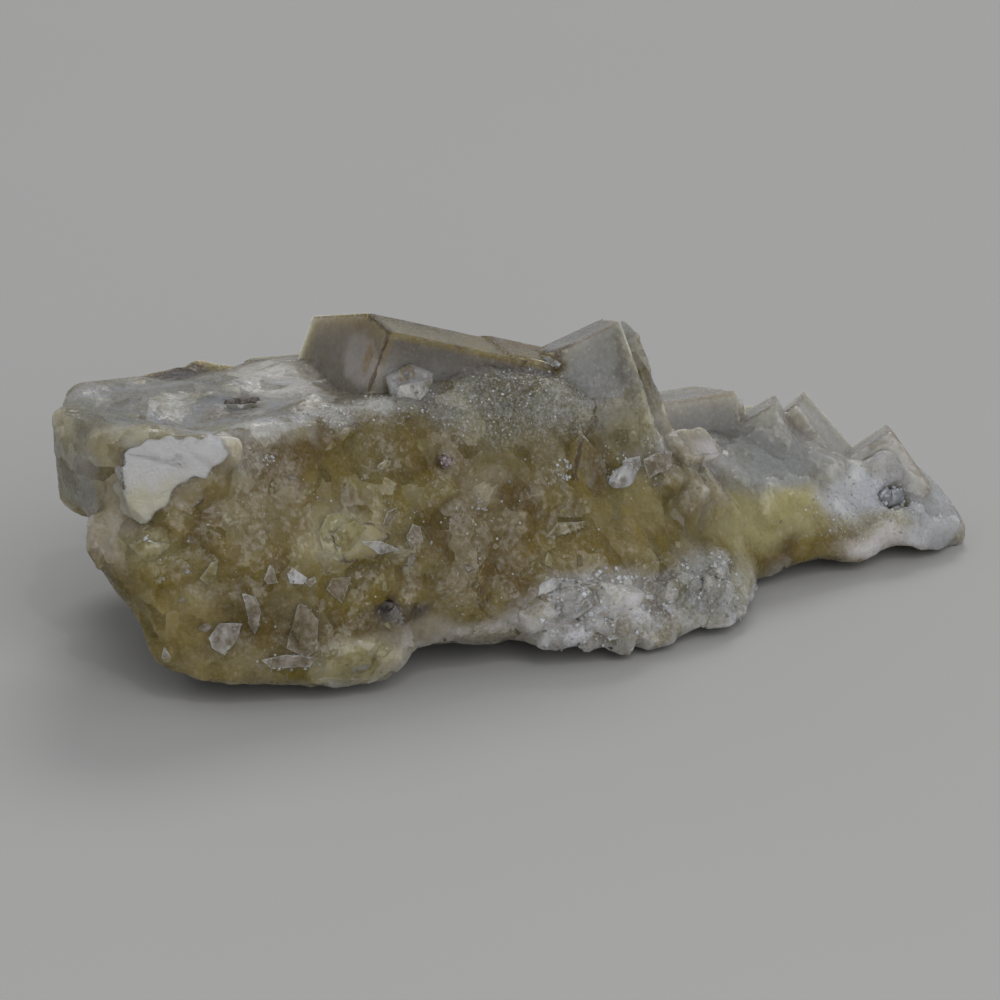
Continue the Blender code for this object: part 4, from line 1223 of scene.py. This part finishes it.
def chip_finish():
    """Thin flakes of pale fluorite with bright rims, a painted highlight; their tint runs from yellow green
    to white.
    """
    finish = Finish("pale_cleavage_flakes")
    tones = FLAKE_TONES
    tint = finish.attribute("tint")
    rim = finish.attribute("rim")
    shade = finish.clouds(1.1, 4.0, 0.65)
    colour = finish.mix(tint.step(0.05, 0.35), tones["yellow green"], tones["pinkish"])
    colour = finish.mix(tint.step(0.35, 1.0), colour, tones["white"])
    colour = finish.mix(shade.step(0.48, 0.7) * (tint * 0.6 + 0.15), colour, tones["pale veins"])
    colour = finish.mix(shade.step(0.52, 0.34, 0.5), colour, tones["honey veins"])
    # Painted highlight along the rims of the flakes
    colour = finish.mix(rim.step(0.3, 1.0) * (tint * 0.6 + 0.25), colour, tones["rim"])
    height, _ = finish.facets(0.5, (0.7, 0.1, 0.4))
    _, flash, _ = finish.cells(0.3)
    normal = finish.glitter(finish.bump(height * 0.3 + shade * 0.1, 0.7), flash, 0.2)
    cloudy = finish.cloudy(colour, shade * 0.3 + 0.06, normal, 0.7, (1.0, 0.9, 0.75), 0.0015)
    clearness = shade.step(0.6, 0.35) * 0.35 + 0.1
    return finish.partly_clear(clearness, cloudy, normal, *FLAKE_GLASS)


MILKY_TONES = named_tones({
    "milk": (155, 152, 150),
    "cream": (150, 145, 128),
    "pale veins": (162, 161, 162),
    "dull veins": (140, 134, 122),
    "grain": (172, 171, 170),
    "rim": (128, 122, 106),
})


def milky_finish():
    """The milk-white flake, creamy towards its lower end, with faint veins and worn edges."""
    finish = Finish("milky_flake")
    tones = MILKY_TONES
    _, _, height = finish.coordinates(finish.warped(2.0, 1.2))
    shade = finish.clouds(2.2, 5.0, 0.65, finish.warped(2.5, 1.0))
    grain = finish.clouds(0.3, 4.0, 0.7)
    colour = finish.mix(height.step(19.2, 16.6), tones["milk"], tones["cream"])
    colour = finish.mix(shade.step(0.5, 0.7) * 0.7, colour, tones["pale veins"])
    colour = finish.mix(shade.step(0.46, 0.3) * 0.5, colour, tones["dull veins"])
    colour = finish.mix(grain.step(0.5, 0.75) * 0.25, colour, tones["grain"])
    colour = finish.mix(finish.attribute("rim") * 0.4, colour, tones["rim"])
    normal = finish.bump(shade * 0.5 + grain * 0.12, 0.7)
    return finish.finish_with(finish.cloudy(colour, grain * 0.3 + 0.2, normal, 0.8, (1.0, 0.92, 0.8), 0.002))


DRUSE_TONES = named_tones({
    "olive": (104, 100, 88),
    "grey": (116, 115, 112),
    "frost": (182, 182, 182),
})


def druse_finish():
    """Frosted sugar of tiny fluorite cubes, from the tone of the ground to glinting white, which in the
    sparkle clusters is a painted glint.
    """
    finish = Finish("frosted_druse")
    tones = DRUSE_TONES
    tint = finish.attribute("tint")
    colour = finish.mix(finish.clouds(3.0, 3.0).step(0.35, 0.65), tones["olive"], tones["grey"])
    colour = finish.mix(tint.step(0.3, 1.0), colour, tones["frost"])
    normal = finish.bump(finish.clouds(0.12, 2.0), 0.03)
    return finish.finish_with(finish.cloudy(colour, tint * 0.3 + 0.06, normal, 0.7, (1.0, 0.92, 0.8), 0.0015))


BRASS = (152, 136, 98)


def pyrite_finish(name, dark, pale):
    """Tarnished pyrite with steely and brassy, striated faces, between a dark and a pale tone."""
    finish = Finish(name)
    tarnish = finish.clouds(0.5, 4.0, 0.65)
    shade = tarnish + finish.attribute("tint") * 0.3
    colour = finish.mix(shade.step(0.4, 0.8), tone(*dark), tone(*pale))
    colour = finish.mix(tarnish.step(0.62, 0.75) * 0.5, colour, tone(*BRASS))
    inputs = {"Vector": finish.place, "Scale": 3.2, "Distortion": 1.2}
    striae = finish.add("ShaderNodeTexWave", None, inputs, "Fac")
    normal = finish.bump(striae * 0.4 + tarnish, 0.04, 0.5)
    return finish.finish_with(finish.principled({
        "Base Color": colour, "Metallic": 1.0, "Roughness": tarnish * 0.3 + 0.5, "Normal": normal}))


def floor_finish():
    finish = Finish("pale_floor")
    grey = (*FLOOR_GREY, 1.0)
    darker_grey = (*(level * 0.97 for level in FLOOR_GREY), 1.0)
    colour = finish.mix(finish.clouds(FLOOR_CLOUD_SIZE), grey, darker_grey)
    return finish.finish_with(finish.principled({"Base Color": colour, "Roughness": 0.8}))


# ---------------------------------------------------------------- the scene


def make_floor():
    bpy.ops.object.select_all(action="DESELECT")
    bpy.ops.mesh.primitive_plane_add(size=FLOOR_SIZE * MM)
    floor = bpy.context.active_object
    floor.name = "floor"
    floor.data.materials.append(floor_finish())
    floor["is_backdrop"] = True


def make_light(name, place, size, power, colour):
    data = bpy.data.lights.new(name, "AREA")
    data.shape = "DISK"
    data.size = size * MM
    data.energy = power
    data.color = colour
    light = add_object(name, data)
    light.location = Vector(place) * MM
    light.rotation_euler = (-light.location).to_track_quat("-Z", "Y").to_euler()


def make_lights():
    world = bpy.data.worlds.new("studio")
    world.use_nodes = True
    sky = world.node_tree.nodes["Background"]
    sky.inputs["Color"].default_value = SKY_COLOUR
    sky.inputs["Strength"].default_value = SKY_STRENGTH
    bpy.context.scene.world = world
    for light in LIGHTS:
        make_light(*light)


def make_camera():
    data = bpy.data.cameras.new("camera")
    data.sensor_fit = "HORIZONTAL"
    data.angle = math.radians(VIEW_ANGLE)
    camera = add_object("camera", data)
    camera.rotation_euler = (math.radians(90 - VIEW_ELEVATION), 0.0, math.radians(VIEW_AZIMUTH))
    back = camera.rotation_euler.to_matrix() @ Vector((0.0, 0.0, VIEW_DISTANCE))
    camera.location = (Vector(VIEW_TARGET) + back) * MM
    bpy.context.scene.camera = camera


plate = make_plate()
plate.data.materials.append(fluorite_finish())
ground = Ground(plate)
flake_finish = chip_finish()
for piece in (lay_flakes(ground), scatter_chips(ground)):
    piece.data.materials.append(flake_finish)
milky = peel(ground, "milky_flake", MILKY_CORNERS, MILKY_LIFT, 1.0, ragged=True)
show_piece(milky).data.materials.append(milky_finish())
grow_druse(ground).data.materials.append(druse_finish())
pyrite_chance = np.random.default_rng(PYRITE_SEED)
for *grain, dark_tone, pale_tone in PYRITE_GRAINS:
    finish = pyrite_finish("tarnish_of_" + grain[0], dark_tone, pale_tone)
    grow_pyrite(*grain, pyrite_chance).data.materials.append(finish)
make_floor()
make_lights()
make_camera()
bpy.context.scene.view_settings.view_transform = "Standard"
bpy.context.scene.cycles.max_bounces = 5
bpy.context.scene.cycles.diffuse_bounces = 2
bpy.context.scene.cycles.glossy_bounces = 3
bpy.context.scene.cycles.transmission_bounces = 4

[[list(corner) for corner in box] for box in (CAD_BOX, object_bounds())]
